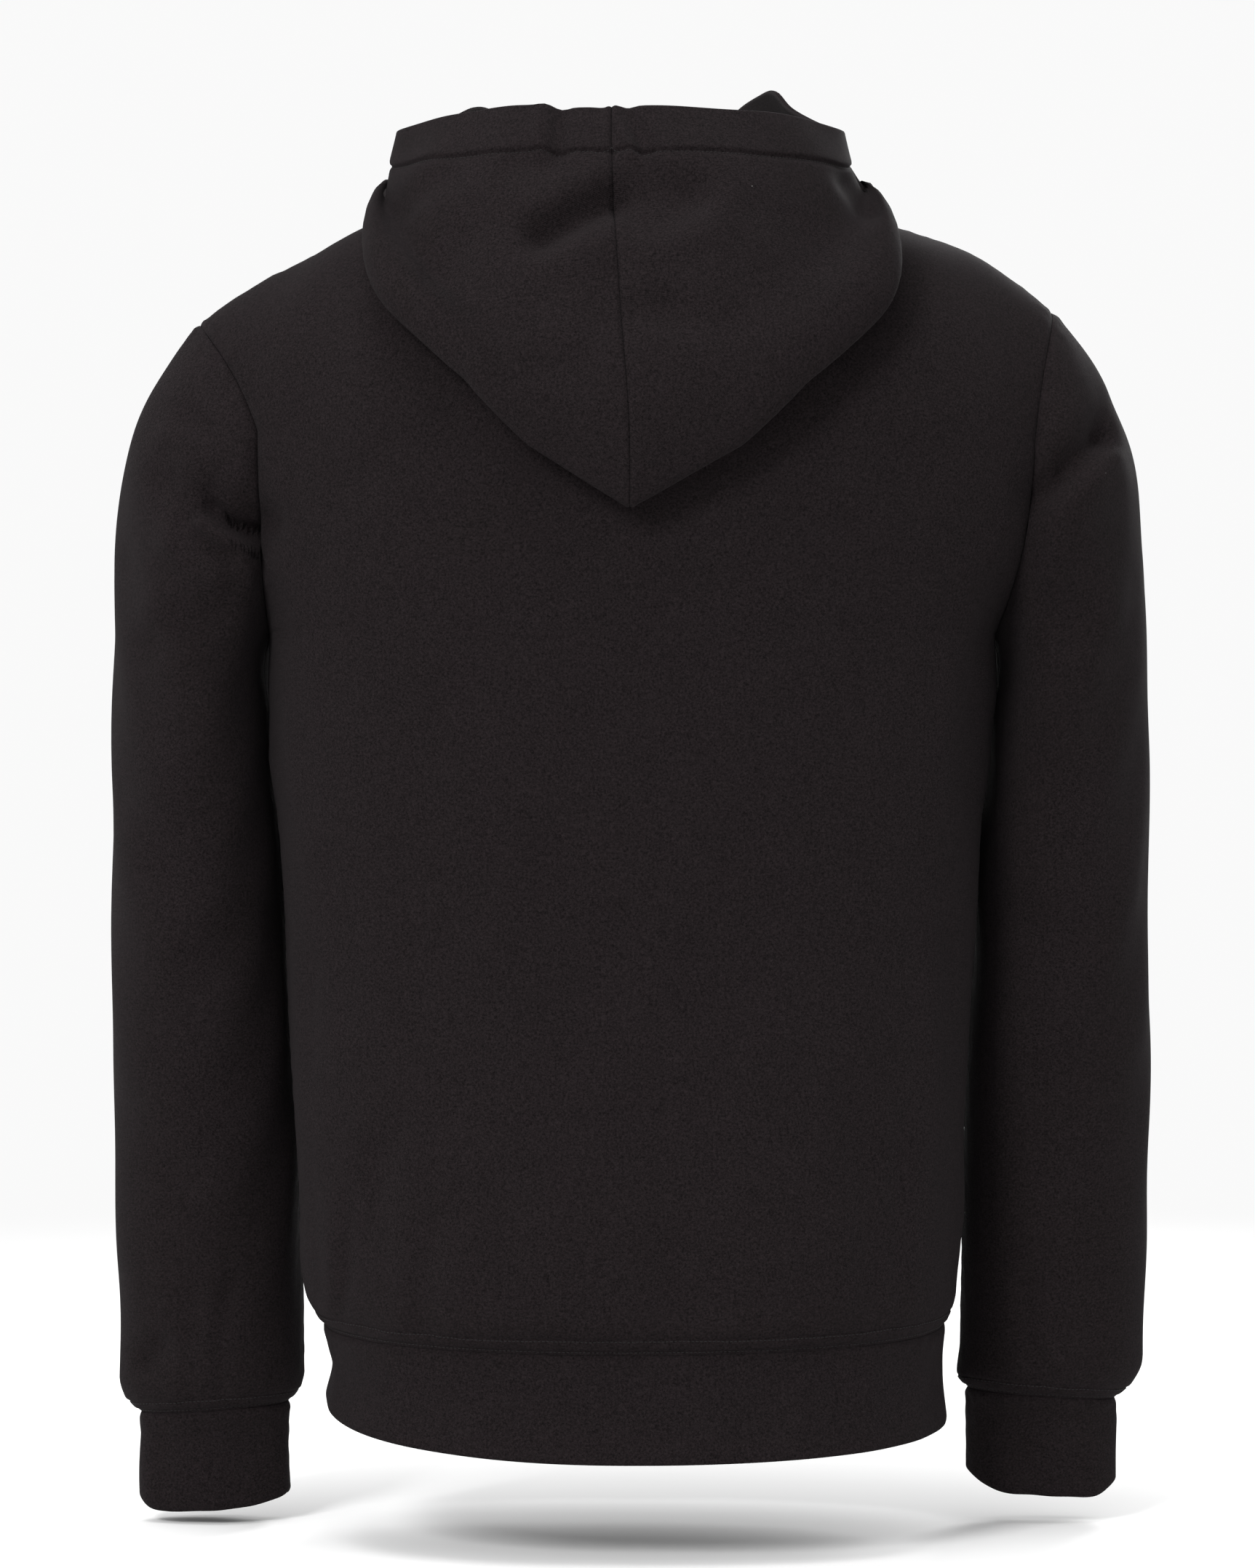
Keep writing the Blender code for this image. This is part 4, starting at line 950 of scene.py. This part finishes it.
# From under the arm (180 degrees) up the front, over the shoulder, and down the back.
up_front = math.pi + (np.linspace(1, 3, 70)[:-1] - 1) * QUARTER
AROUND = np.concatenate([up_front, np.linspace(0, math.pi, 71)])
for side, word in SIDES:
    angle = AROUND if side == RIGHT else AROUND[::-1]
    marks = np.linspace(0, 2, 1200)
    line = sleeve(side, np.array([1.2]), marks[:, None])[:, 0]
    along = stepped(marks, line, 0.004, 0.013, 0.0032)
    outer, angle, under = tube_of(sleeve(side, angle[None], along[:, None]), angle)
    seams = {
        "first": under,
        "last": under,
        "bottom": tube_way(outer[0]),
        "top": -outward_at_hole(side, angle % (2 * math.pi)),
    }
    waves, calm = (0.05, 0.05, 0.11), {"top": 0.05, "bottom": 0.03}
    outer, normals = draped(outer, seams, waves, 21, 0.0009, calm, CREASES, SLEEVE_FOLDS)
    outer = channelled(outer, normals, "bottom", CUFF_ROWS)
    outer = rolled(outer, seams, flat=UNDER_ARM)
    girth = run_length(outer.mean(axis=0) - outer.mean(axis=(0, 1)))
    arm_piece = cloth(f"sleeve_panel_{word}", outer, FLEECE, seams, (), cut_of(outer, girth))
    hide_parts(f"sleeve_{word}")
    rows = [row_on(outer, "bottom", row) for row in CUFF_ROWS]
    arm_rows = stitches(f"sleeve_stitches_{word}", rows)


# ---------------------------------------------------------------- hem band
# A straight strip of the same fleece folded double, its fold at the bottom. It is shorter than
# the body's edge and draws it in, and it ends at the zip on each side.
BAND_CLOTH = 0.0028
marks = np.linspace(-1, 0, 200)
BAND_LEVELS = stepped(marks, panel(BACK, LEFT, 0.45, marks), 0.004, 0.004, 0.003)
rows = BAND_LEVELS[:, None]
outer = np.concatenate(
    [
        panel(FRONT, RIGHT, FRONT_SHARES[None], rows),
        panel(BACK, RIGHT, SHARES[::-1][None, 1:], rows),
        panel(BACK, LEFT, SHARES[None, 1:], rows),
        panel(FRONT, LEFT, FRONT_SHARES[::-1][None, 1:], rows),
    ],
    axis=1,
)
if (normals_of(outer)[..., 1] * outer[..., 1]).sum() < 0:
    outer = outer[:, ::-1]
seams = {"top": hem_way(outer[-1])}
outer, _ = draped(outer, seams, (0.05, 0.05, 0.09), 31, 0.0007, {"top": 0.02}, CREASES, FOLDS)
outer = rolled(outer, seams)
cut = cut_of(outer, run_length(outer[len(rows) // 2]))
band = cloth("hem_band_cloth", outer, BAND_CLOTH, seams, ("bottom", "first", "last"), cut)
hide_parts("hem_band")


# ---------------------------------------------------------------- cuffs
# A short tube of doubled fleece sewn to each sleeve's end, its fold at the wrist.
CUFF_LENGTH = 0.058
CUFF_DEPTH = 0.021
CUFF_TURN_IN = 0.06  # the share by which its turned edge rounds in
CUFF_CORNER = {LEFT: (0.0065, 0.0040), RIGHT: (0.0080, 0.0090)}


def cuff(side, angle, down):
    """Cuff: a flattened tube, down 0 at its seam to 1 at its turned edge."""
    angle, down = np.broadcast_arrays(np.asarray(angle, float), np.asarray(down, float))
    seam = arm_section(side, angle, np.ones_like(down))
    middle = arm_section(side, np.array([0.0, math.pi]), np.ones(2)).mean(axis=0)
    round_in = 1 - CUFF_TURN_IN * np.clip((down - 0.9) / 0.1, 0, 1) ** 2
    spread = np.array([1.0, CUFF_DEPTH / SLEEVE["depth"][-1], 1.0])
    shape = (seam - middle) * (1 + (spread - 1) * ease(down / 0.25)[..., None])
    level, upright = np.array([1, 1, 0]), np.array([0, 0, 1])
    shape = shape * level * round_in[..., None] + (seam - middle) * upright
    outer, inner = CUFF_CORNER[side]
    corner = np.where(np.cos(angle) > 0, outer, inner) * np.cos(angle) ** 6 * down**2
    return middle + shape + stack(0.0, -0.002 * down, corner - CUFF_LENGTH * down)


for side, word in SIDES:
    down = paced(CUFF_LENGTH, 0.004, 0.004, 0.003)
    outer, _, under = tube_of(cuff(side, AROUND[None], down[:, None]), AROUND)
    seams = {"first": under, "last": under, "top": tube_way(outer[-1])}
    calm = {"top": 0.015}
    outer, _ = draped(outer, seams, (0.03, 0.03, 0.06), 41, 0.0006, calm, CREASES, SLEEVE_FOLDS)
    outer = rolled(outer, seams, flat=UNDER_ARM)
    cut = cut_of(outer, run_length(outer[len(down) // 2]))
    wrist = cloth(f"cuff_cloth_{word}", outer, BAND_CLOTH, seams, ("bottom",), cut)
    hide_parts(f"cuff_{word}")


# ---------------------------------------------------------------- hood
# Two curved panels of fleece joined by a seam down the middle, lying open on the back. The front
# edge is turned over into a casing 24 mm wide with one row of stitches.
CASING_RISE = 0.0010
HOOD = table("""
station across   up loft bel_x bel_y bel_z cas_x cas_y cas_z edge_x edge_y edge_z
      0      0 1.69   26     0   160   -85     0   117  22.5      0    100   48.5
  0.125  0.162  1.9   26    45   155   -78    44   115  22.5     40     97   48.8
   0.25   0.34 2.12   28    86   138   -60    83   100    22     77     84   48.4
   0.36  0.492 2.29   27   117   109   -30   114    70  21.5    107     57   46.8
   0.44  0.568 2.59   20   134    58     2   128    36    24  123.5     30   45.5
    0.5  0.515    3   11   130     8    19   126     6    32    120      2     50
    0.6   0.49 2.77   10   117   -36    21   109   -31    42     97    -26   63.5
   0.72   0.42 2.56   12    99   -76     6    90   -65    34     79    -54   69.5
   0.86   0.24 2.46   12    62  -114   -34    54  -102    -4     46    -90     33
      1   0.03 2.84    8     9  -122   -68     8  -118   -56    6.5   -109    -34
""")
HOOD_MARKS = (0, 0.07, 0.14, 0.21, 0.28, 0.35, 0.42, 0.49, 0.66, 0.86, 1)  # of a rib's own points
HOOD_CLEAR = 0.0050
HOOD_NECK_CLEAR = 0.0024
HOOD_SEAM_LEAN = 0.010
HOOD_STAND = table("""
station left right
      0    0     0
    0.5    0     0
    0.6   -3     3
   0.66   -1     8
   0.72    0     9
    0.8    2    16
   0.87    3    22
   0.94    1     8
      1    0     0
""")
HOOD_CREASES = table("""
side   x1  z1   x2  z2 width depth
   1   10  -4   50 -24    10   8.5  # slanting hollow left of the seam
   1   62  14   44  14     9     3
   1   12 -30   46 -46    10    -3
   1   -4  -2  -36   4    11   6.5  # hollow right of the seam
   1   -4 -68  -26 -70    10   3.5
   1   48 -98   30 -96     9   2.5
   1 -131  -3 -120  12     7     5  # fold at the right corner
""")
HOOD_FOLDS = table("""
side   x1   z1   x2   z2 width depth bow ridge
   1   37   46   38   22     5   3.6   1   0.5
   1    1   48   -8   23     4   3.4   1   0.6
   1   12   -8   46  -27     8   3.6   1   0.5
   1   -3  -18  -34   -6     9   4.2   2   0.5
   1  -20  -64  -50  -74    10     3   2   0.4
   1   62 -128   30 -146     6   1.6   2   0.5
   1    6  -40   15  -78     9   1.2   3   0.4
   1   70  -20  100  -46    13   1.8   4   0.3
   1  100   10  122   -6     8   1.8   2   0.4
   1  -70  -10 -104  -40    13   1.6  -4   0.3
   1 -118   16 -128    8     5   1.6   1   0.5
  -1   60   20   80  -10    10   1.6   3   0.4
  -1  -60   20  -80  -10    10   1.6  -3   0.4
""")


def through(knots, values, at):
    """The natural cubic curve through values at the knots, read at `at`. The second derivatives at
    the knots come from the usual tridiagonal system, with none at the two ends."""
    step = np.diff(knots)
    count = len(knots)
    matrix, right = np.eye(count), np.zeros(np.shape(values))
    for i in range(1, count - 1):
        matrix[i, i - 1 : i + 2] = step[i - 1], 2 * (step[i - 1] + step[i]), step[i]
        right[i] = 6 * (
            (values[i + 1] - values[i]) / step[i] - (values[i] - values[i - 1]) / step[i - 1]
        )
    bend = np.linalg.solve(matrix, right)
    cell = np.clip(np.searchsorted(knots, at, side="right") - 1, 0, count - 2)
    width, ahead, behind = step[cell], knots[cell + 1] - at, at - knots[cell]
    if np.ndim(values) > 1:
        width, ahead, behind = width[:, None], ahead[:, None], behind[:, None]
    return (
        (bend[cell] * ahead**3 + bend[cell + 1] * behind**3) / (6 * width)
        + (values[cell] / width - bend[cell] * width / 6) * ahead
        + (values[cell + 1] / width - bend[cell + 1] * width / 6) * behind
    )


def spline(points, marks, share):
    """The natural cubic curve through points (K, 3) that lie at these marks, read at shares."""
    chord = np.linalg.norm(np.diff(points, axis=0), axis=1)
    knots = np.concatenate([[0], np.cumsum(chord)])
    return through(knots, points, np.interp(share, marks, knots))


def hood_column(side, station, share):
    """One rib of the hood at a station: from the neck seam along the panels to the fold, round
    it, and up the outer layer over belly and casing to the free edge."""
    face = BACK if station <= 0.5 else FRONT
    row = {name: through(HOOD["station"], HOOD[name], station) for name in HOOD}
    neck_share = NECK_SHARE * (1 - abs(1 - 2 * station))
    path = np.linspace(0, 1, 6)
    width = neck_share + (row["across"] - neck_share) * path
    level = 3 + (min(row["up"], 3.0) - 3) * path
    rest, out = panel(face, side, width, level), panel_out(face, side, width, level)
    lift = HOOD_NECK_CLEAR + (HOOD_CLEAR - HOOD_NECK_CLEAR) * ease(path / 0.35)
    under = rest + out * lift[:, None]
    heading = unit(under[-1] - under[-2])
    loft = row["loft"]
    turn = under[-1] + out[-1] * loft / 2 + heading * loft / 2
    low = under[-1] + out[-1] * loft - heading * loft * 0.25
    parts = ("bel", "cas", "edge")
    outer = np.array([[row[f"{part}_{axis}"] for axis in "xyz"] for part in parts])
    outer[:, 0] *= side
    if station > 0.97:
        outer[:, 0] = np.copysign(np.maximum(abs(outer[:, 0]), ZIP_HALF), side)
    points = np.vstack([under, [turn, low], outer])
    if station == 0:
        points[:, 0] = 0
    curve = spline(points, HOOD_MARKS, share)
    lean = HOOD_SEAM_LEAN * (1 - ease(station / 0.4) / 2) * (1 - ease((station - 0.5) / 0.4))
    curve[:, 0] += lean * ease((share - 0.5) / 0.4)
    stand = follow(HOOD_STAND["station"], HOOD_STAND["left" if side == LEFT else "right"], station)
    curve[:, 2] += stand * ease((share - 0.66) / 0.34)
    return curve


def hood(side, stations, shares):
    """One half of the hood as a grid: shares down the rows, stations along the columns. Where the
    bag's under layer and fold come too near the panels they are lifted clear."""
    points = np.stack([hood_column(side, station, shares) for station in stations], axis=1)
    share, level = np.meshgrid(np.linspace(0, 1, 61), np.linspace(1.3, 3, 86))
    rest, out = (
        np.concatenate([of(face, side, share, level).reshape(-1, 3) for face in (BACK, FRONT)])
        for of in (panel, panel_out)
    )
    tree = KDTree(len(rest))
    for index, place in enumerate(rest):
        tree.insert(place, index)
    tree.balance()
    for row, along in enumerate(shares):
        if along > HOOD_MARKS[-3]:
            continue
        clear = HOOD_NECK_CLEAR + (HOOD_CLEAR - HOOD_NECK_CLEAR) * ease(along / 0.08)
        for column in range(len(stations)):
            place, nearest, _ = tree.find(points[row, column])
            lift = clear - (points[row, column] - rest[nearest]) @ out[nearest]
            if lift > 0:
                points[row, column] += lift * out[nearest] * (stations[column] > 0, 1, 1)
    return points


HOOD_ROUND = 0.42  # half way round the hood's fold
HOOD_CUT = 0.40  # the same on the flat panel
HOOD_SINK = 0.0016
CASING_GROOVE = (0.0011, 0.0020)  # depth and width
CASING_EXTRA = 0.9  # thickness of the turned layer, as a share of the cloth's
CASING_MARK = HOOD_MARKS[-2]
stations = paced(HOOD_ROUND, 0.004, 0.003, 0.0042)
# Rows lie closer at the casing's stitches and towards the free edge.
rows = [np.linspace(0, 0.84, 92), np.linspace(0.84, 0.885, 19), np.linspace(0.885, 1, 24)]
shares = np.unique(np.round(np.concatenate([*rows, [0.994, 0.998]]), 5))
hood_grids = {}
for side in (LEFT, RIGHT):
    # Columns run towards the centre seam on the wearer's left, and away from it on the right.
    outer = hood(side, stations, shares)[:, :: -side]
    normals = normals_of(outer)
    swell = ripple(outer, 0.07, 51) * 0.0008 * ease((shares - 0.5) / 0.2)[:, None]
    outer = outer + normals * swell[..., None]
    outer = creased(outer, normals, HOOD_CREASES)
    hood_grids[side] = creased(outer, normals, HOOD_FOLDS)
seam_columns = {LEFT: -1, RIGHT: 0}
seam_line = sum(grid[:, seam_columns[side]] for side, grid in hood_grids.items()) / 2
seam_normals = sum(normals_of(grid)[:, seam_columns[side]] for side, grid in hood_grids.items())
seam_normals = unit(seam_normals * np.array([0, 1.0, 1.0]))
for side, word in SIDES:
    outer, centre = hood_grids[side], seam_columns[side]
    name, other = ("first", "last") if centre == 0 else ("last", "first")
    gap = (seam_line - outer[:, centre])[:, None]
    outer = outer + gap * (1 - ease(from_edge(outer, name) / 0.02))[..., None]
    fold = np.broadcast_to(ease((shares - CASING_MARK) / 0.010)[:, None], outer.shape[:2])
    normals = normals_of(outer)
    normals[:, centre] = seam_normals
    outer = outer + normals * (fold * CASING_RISE)[..., None]
    mark = np.abs(shares - CASING_MARK).argmin()
    row = from_edge(outer, "bottom")[mark]
    outer = channelled(outer, normals, "bottom", (row[None],), *CASING_GROOVE)
    seams = {name: -seam_normals}
    outer = rolled(outer, seams, sink=HOOD_SINK, reach=HOOD_SINK * 2)
    round_neck = (stations if centre == 0 else stations[::-1]) * HOOD_CUT
    cut = cut_of(outer, round_neck)[..., ::-1]
    casing = FLEECE * (1 + CASING_EXTRA * fold)
    panel_piece = cloth(f"hood_panel_{word}", outer, FLEECE, seams, ("top", other), cut, casing)
    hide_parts(f"hood_{word}")
    hood_rows = stitches(f"casing_stitches_{word}", [row_on(outer, "bottom", row)])


# ---------------------------------------------------------------- zip
# A moulded zip: two woven tapes, a row of teeth clamped on each, stops at the top, a box at the
# bottom, and the slider with its pull tab. The tapes are sewn behind the fronts' edges.
TAPE_WIDTH = 0.0150
TAPE_THICK = 0.0010
TAPE_DEPTH = 0.0032
CHAIN_GAP = 0.00025
CHAIN_OPEN = 0.0019
CHAIN_PARTS = 0.0115  # below the tape's top, where the slider parts the chain
CHAIN_PARTING = 0.007  # the length over which it does
TEETH_BELOW, TEETH_ABOVE = 0.0135, 0.0085  # the tape's length without teeth at its two ends
STOP_BELOW_TOP = 0.0045
BOX_HEIGHT = 0.0062
TOOTH_PITCH = 0.0030
TOOTH = (  # half of a tooth's outline: across from the chain's edge, and along the chain
    (0.0031, -0.0004), (0.0010, -0.0005), (0.0001, -0.0008), (-0.0006, -0.0004),
    (-0.0006, 0.0004), (0.0001, 0.0008), (0.0010, 0.0005), (0.0031, 0.0004),
)
TOOTH_LAYERS = ((-0.0049, 0.72), (-0.0046, 1.0), (-0.0022, 1.0), (-0.0016, 0.70))


def zip_line(level):
    """The centre front's profile in the plane x 0: points and outward unit normals."""
    flat = np.array([0.0, 1.0, 1.0])
    return panel(FRONT, LEFT, 0.0, level) * flat, unit(panel_out(FRONT, LEFT, 0.0, level) * flat)


zip_levels = np.linspace(-0.985, 2.96, 3000)
zip_points, zip_normals = zip_line(zip_levels)
zip_length = run_length(zip_points)
LONG = zip_length[-1]


def zip_at(along):
    """Place, way out and way up of the zip's centre line at distances from its lower end."""
    place = on_line(along, zip_length, zip_points)
    ahead, behind = (on_line(along + step, zip_length, zip_points) for step in (0.001, -0.001))
    return place, unit(on_line(along, zip_length, zip_normals)), unit(ahead - behind)


def chain_edge(along):
    """How far a tape's chain edge lies from the centre line: parted above the slider."""
    closed = ease((LONG - along - CHAIN_PARTS) / CHAIN_PARTING)
    return CHAIN_OPEN + (CHAIN_GAP - CHAIN_OPEN) * closed


def woven_tape(name):
    """Woven polyester tape: herringbone ribs on the cut's own measures, with a faint gloss."""
    made, tree, shader, place = finish_named(name)
    across, along = cut_place(tree)
    zigzag = ((across / 0.0036).part() - 0.5).size() * 2.6
    rib = ((along / 0.0009 + zigzag).part() * math.pi).wave()
    warp = ((across / 0.00045).part() * math.pi).wave()
    fibre = noise(tree, place, 700.0, 3.0)
    tone = (rib * 0.35 + fibre * 0.5).clamped()
    plug(tree, shader, {
        "Base Color": mixed(tree, tone, (0.008, 0.0075, 0.008, 1.0), (0.026, 0.024, 0.026, 1.0)),
        "Normal": bumped(tree, rib * 0.7 + warp * 0.3 + fibre * 0.2, 0.7, 0.00025),
        "Roughness": 0.62 + fibre * 0.2,
    })
    return made


def hard_black(name, colour, dull, metal, scuff):
    """A hard black finish, moulded or plated, with faint scuffs that are paler and duller."""
    made, tree, shader, place = finish_named(name)
    grain = noise(tree, place, 1800.0, 2.0)
    rub = (noise(tree, place, 420.0, 4.0, 0.7) * 2.6 - 1.05).clamped()
    pale = tuple(3.2 * part for part in colour)
    plug(tree, shader, {
        "Base Color": mixed(tree, rub * scuff, (*colour, 1.0), (*pale, 1.0)),
        "Roughness": dull + grain * 0.10 + rub * 0.14,
        "Normal": bumped(tree, grain + rub, 0.25, 0.00008),
        "Metallic": metal,
    })
    return made


tape_finish = woven_tape("zip_tape_weave")
moulded = hard_black("zip_teeth_moulded", (0.012, 0.012, 0.013), 0.30, 0.0, 0.35)
plated = hard_black("slider_black_nickel", (0.060, 0.060, 0.066), 0.22, 1.0, 0.45)
# A tape's section: across from the chain's edge and out from the fronts' face. A round bead lies
# along the chain's edge, under the teeth.
BEAD, BEAD_IN = 0.0008, 0.0009  # its radius, and how far its middle lies in from the edge
TAPE_FRONT, TAPE_MIDDLE, TAPE_BACK = (-TAPE_DEPTH - TAPE_THICK * part for part in (0, 0.5, 1))
TAPE_SECTION = np.array(
    [(x, TAPE_FRONT) for x in (TAPE_WIDTH - 0.0002, 0.012, 0.008, 0.004)]
    + [(BEAD_IN + BEAD * math.cos(t), TAPE_MIDDLE + BEAD * math.sin(t))
       for t in np.linspace(0.5, 1.5, 7) * math.pi]
    + [(x, TAPE_BACK) for x in (0.004, 0.009, TAPE_WIDTH - 0.0002)]
    + [(TAPE_WIDTH, TAPE_MIDDLE)]
)


def blocks(name, alongs, side, outline, layers, shift=0.0):
    """Small moulded blocks along one side of the zip as one mesh: each is an eight-point outline,
    across and along, lofted through layers that give its distance out and its scale."""
    place, out, up = (values[:, None, None] for values in zip_at(alongs))
    u, v = np.array(outline).T
    u = u + shift
    w, scale = np.array(layers).T
    hub = u.mean()
    wide = (hub + (u - hub) * scale[:, None])[None, ..., None]
    wide = wide + chain_edge(alongs)[:, None, None, None]
    high = (v * scale[:, None])[None, ..., None]
    points = place + np.array([side, 0.0, 0.0]) * wide + up * high + out * w[None, :, None, None]
    count, ring = len(u), np.arange(len(u))
    turn = (ring + 1) % count
    wall = np.stack([ring, turn, turn + count, ring + count], -1)
    walls = [wall + k * count for k in range(len(w) - 1)]
    caps = np.array([[0, 1, 6, 7], [1, 2, 5, 6], [2, 3, 4, 5]])
    faces = np.concatenate([*walls, caps[:, ::-1], caps + (len(w) - 1) * count])
    faces = faces if side == LEFT else faces[:, ::-1]
    piece = shaped(name, points, repeated(faces, len(alongs), count * len(w)), moulded)
    piece.data.set_sharp_from_angle(angle=math.radians(35))
    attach(piece, "garment")
    return piece


STOP = tuple((x * 1.1, v * 2.6) for x, v in TOOTH)
STOP_LAYERS = ((-0.0052, 0.8), (-0.0048, 1.0), (-0.0019, 1.0), (-0.0014, 0.8))
for side, word in SIDES:
    along = np.linspace(0, LONG, 270)
    place, out, up = (values[:, None] for values in zip_at(along))
    x, w = TAPE_SECTION.T
    spread = chain_edge(along)[:, None] * (x < 0.006) + x
    points = place + out * w[None, :, None] + stack(side * spread, 0.0, 0.0)
    count = len(x)
    index = np.arange(len(along) * count).reshape(len(along), count)
    quads = faces_of(np.concatenate([index, index[:, :1]], axis=1))
    fan = np.array([(k, k + 1, count - 2 - k, count - 1 - k) for k in range(count // 2 - 1)])
    quads = np.concatenate([quads, fan[:, ::-1], fan + (len(along) - 1) * count])
    if side == LEFT:
        quads = quads[:, ::-1]
    woven = shaped(f"zip_tape_cloth_{word}", points, quads, tape_finish)
    keep_cut(woven, quads, stack(x[None], along[:, None]))
    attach(woven, "garment")
    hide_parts(f"zip_tape_{word}")
    offset = 0.0 if side == LEFT else TOOTH_PITCH / 2
    alongs = np.arange(TEETH_BELOW + offset, LONG - TEETH_ABOVE, TOOTH_PITCH)
    teeth = blocks(f"zip_teeth_{word}", alongs, side, TOOTH, TOOTH_LAYERS)
    at_top = np.array([LONG - STOP_BELOW_TOP])
    stop = blocks(f"zip_top_stop_{word}", at_top, side, STOP, STOP_LAYERS)

# The box at the lower end of the left tape.
BOX = ((0.0040, -0.0052), (0.0012, -0.0058), (-0.0012, -0.0058), (-0.0040, -0.0052))
BOX = BOX + tuple((x, -v) for x, v in BOX[::-1])
BOX_LAYERS = ((-0.0056, 0.86), (-0.0051, 1.0), (-0.0016, 1.0), (-0.0010, 0.84))
blocks("zip_box", np.array([BOX_HEIGHT]), LEFT, BOX, BOX_LAYERS, -CHAIN_GAP)

for node in ("zip_slider", "zip_pull"):
    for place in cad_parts[node].material_slots:
        place.material = plated


# ---------------------------------------------------------------- floor and light
# A pale floor that fades into a white room, with soft light from above and behind the camera.
FLOOR_Z = -0.742
FLOOR_CLEAR, FLOOR_FADE, FLOOR_REACH = 0.7, 1.5, 2.4  # it fades from this radius, over this length
ROOM_LIGHT = 0.95
made, tree, shader, place = finish_named("pale_floor")
away = add(tree, "ShaderNodeVectorMath", {"operation": "LENGTH"}, {0: place}, 1)
clear = ((away - FLOOR_CLEAR) / FLOOR_FADE).clamped()
plug(tree, shader, {
    "Alpha": 1 - clear * clear * (3 - 2 * clear),
    "Base Color": (0.86, 0.86, 0.86, 1.0),
    "Roughness": 0.9,
    "Specular IOR Level": 0.0,
})
reach = np.linspace(0, FLOOR_REACH, 40)[:, None]
turn = np.linspace(0, 2 * math.pi, 97)[None]
disc = stack(reach * np.cos(turn), reach * np.sin(turn), FLOOR_Z)
index = np.arange(disc.size // 3).reshape(disc.shape[:2])
floor = shaped("floor", disc, faces_of(index)[:, ::-1], made)

room = bpy.data.worlds.new("room")
room.use_nodes = True
sky = room.node_tree.nodes["Background"]
plug(room.node_tree, sky, {"Color": (1.0, 1.0, 1.0, 1.0), "Strength": ROOM_LIGHT})
scene.world = room

for name, spot, aim, size, power in (
    ("top_light", (0.3, 0.6, 2.2), (0.0, 0.0, -0.2), 1.2, 32.0),
    ("back_light", (1.3, 2.3, 1.1), (0.0, 0.0, -0.30), 0.8, 60.0),
    ("front_light", (-1.1, -2.5, 1.0), (0.0, 0.0, -0.30), 1.0, 55.0),
):
    lamp = bpy.data.lights.new(name, "AREA")
    lamp.size = size
    lamp.energy = power
    light = bpy.data.objects.new(name, lamp)
    light.location = spot
    x, y, z = np.array(spot) - np.array(aim)
    light.rotation_euler = (math.atan2(math.hypot(x, y), z), 0, math.atan2(x, -y))
    scene.collection.objects.link(light)
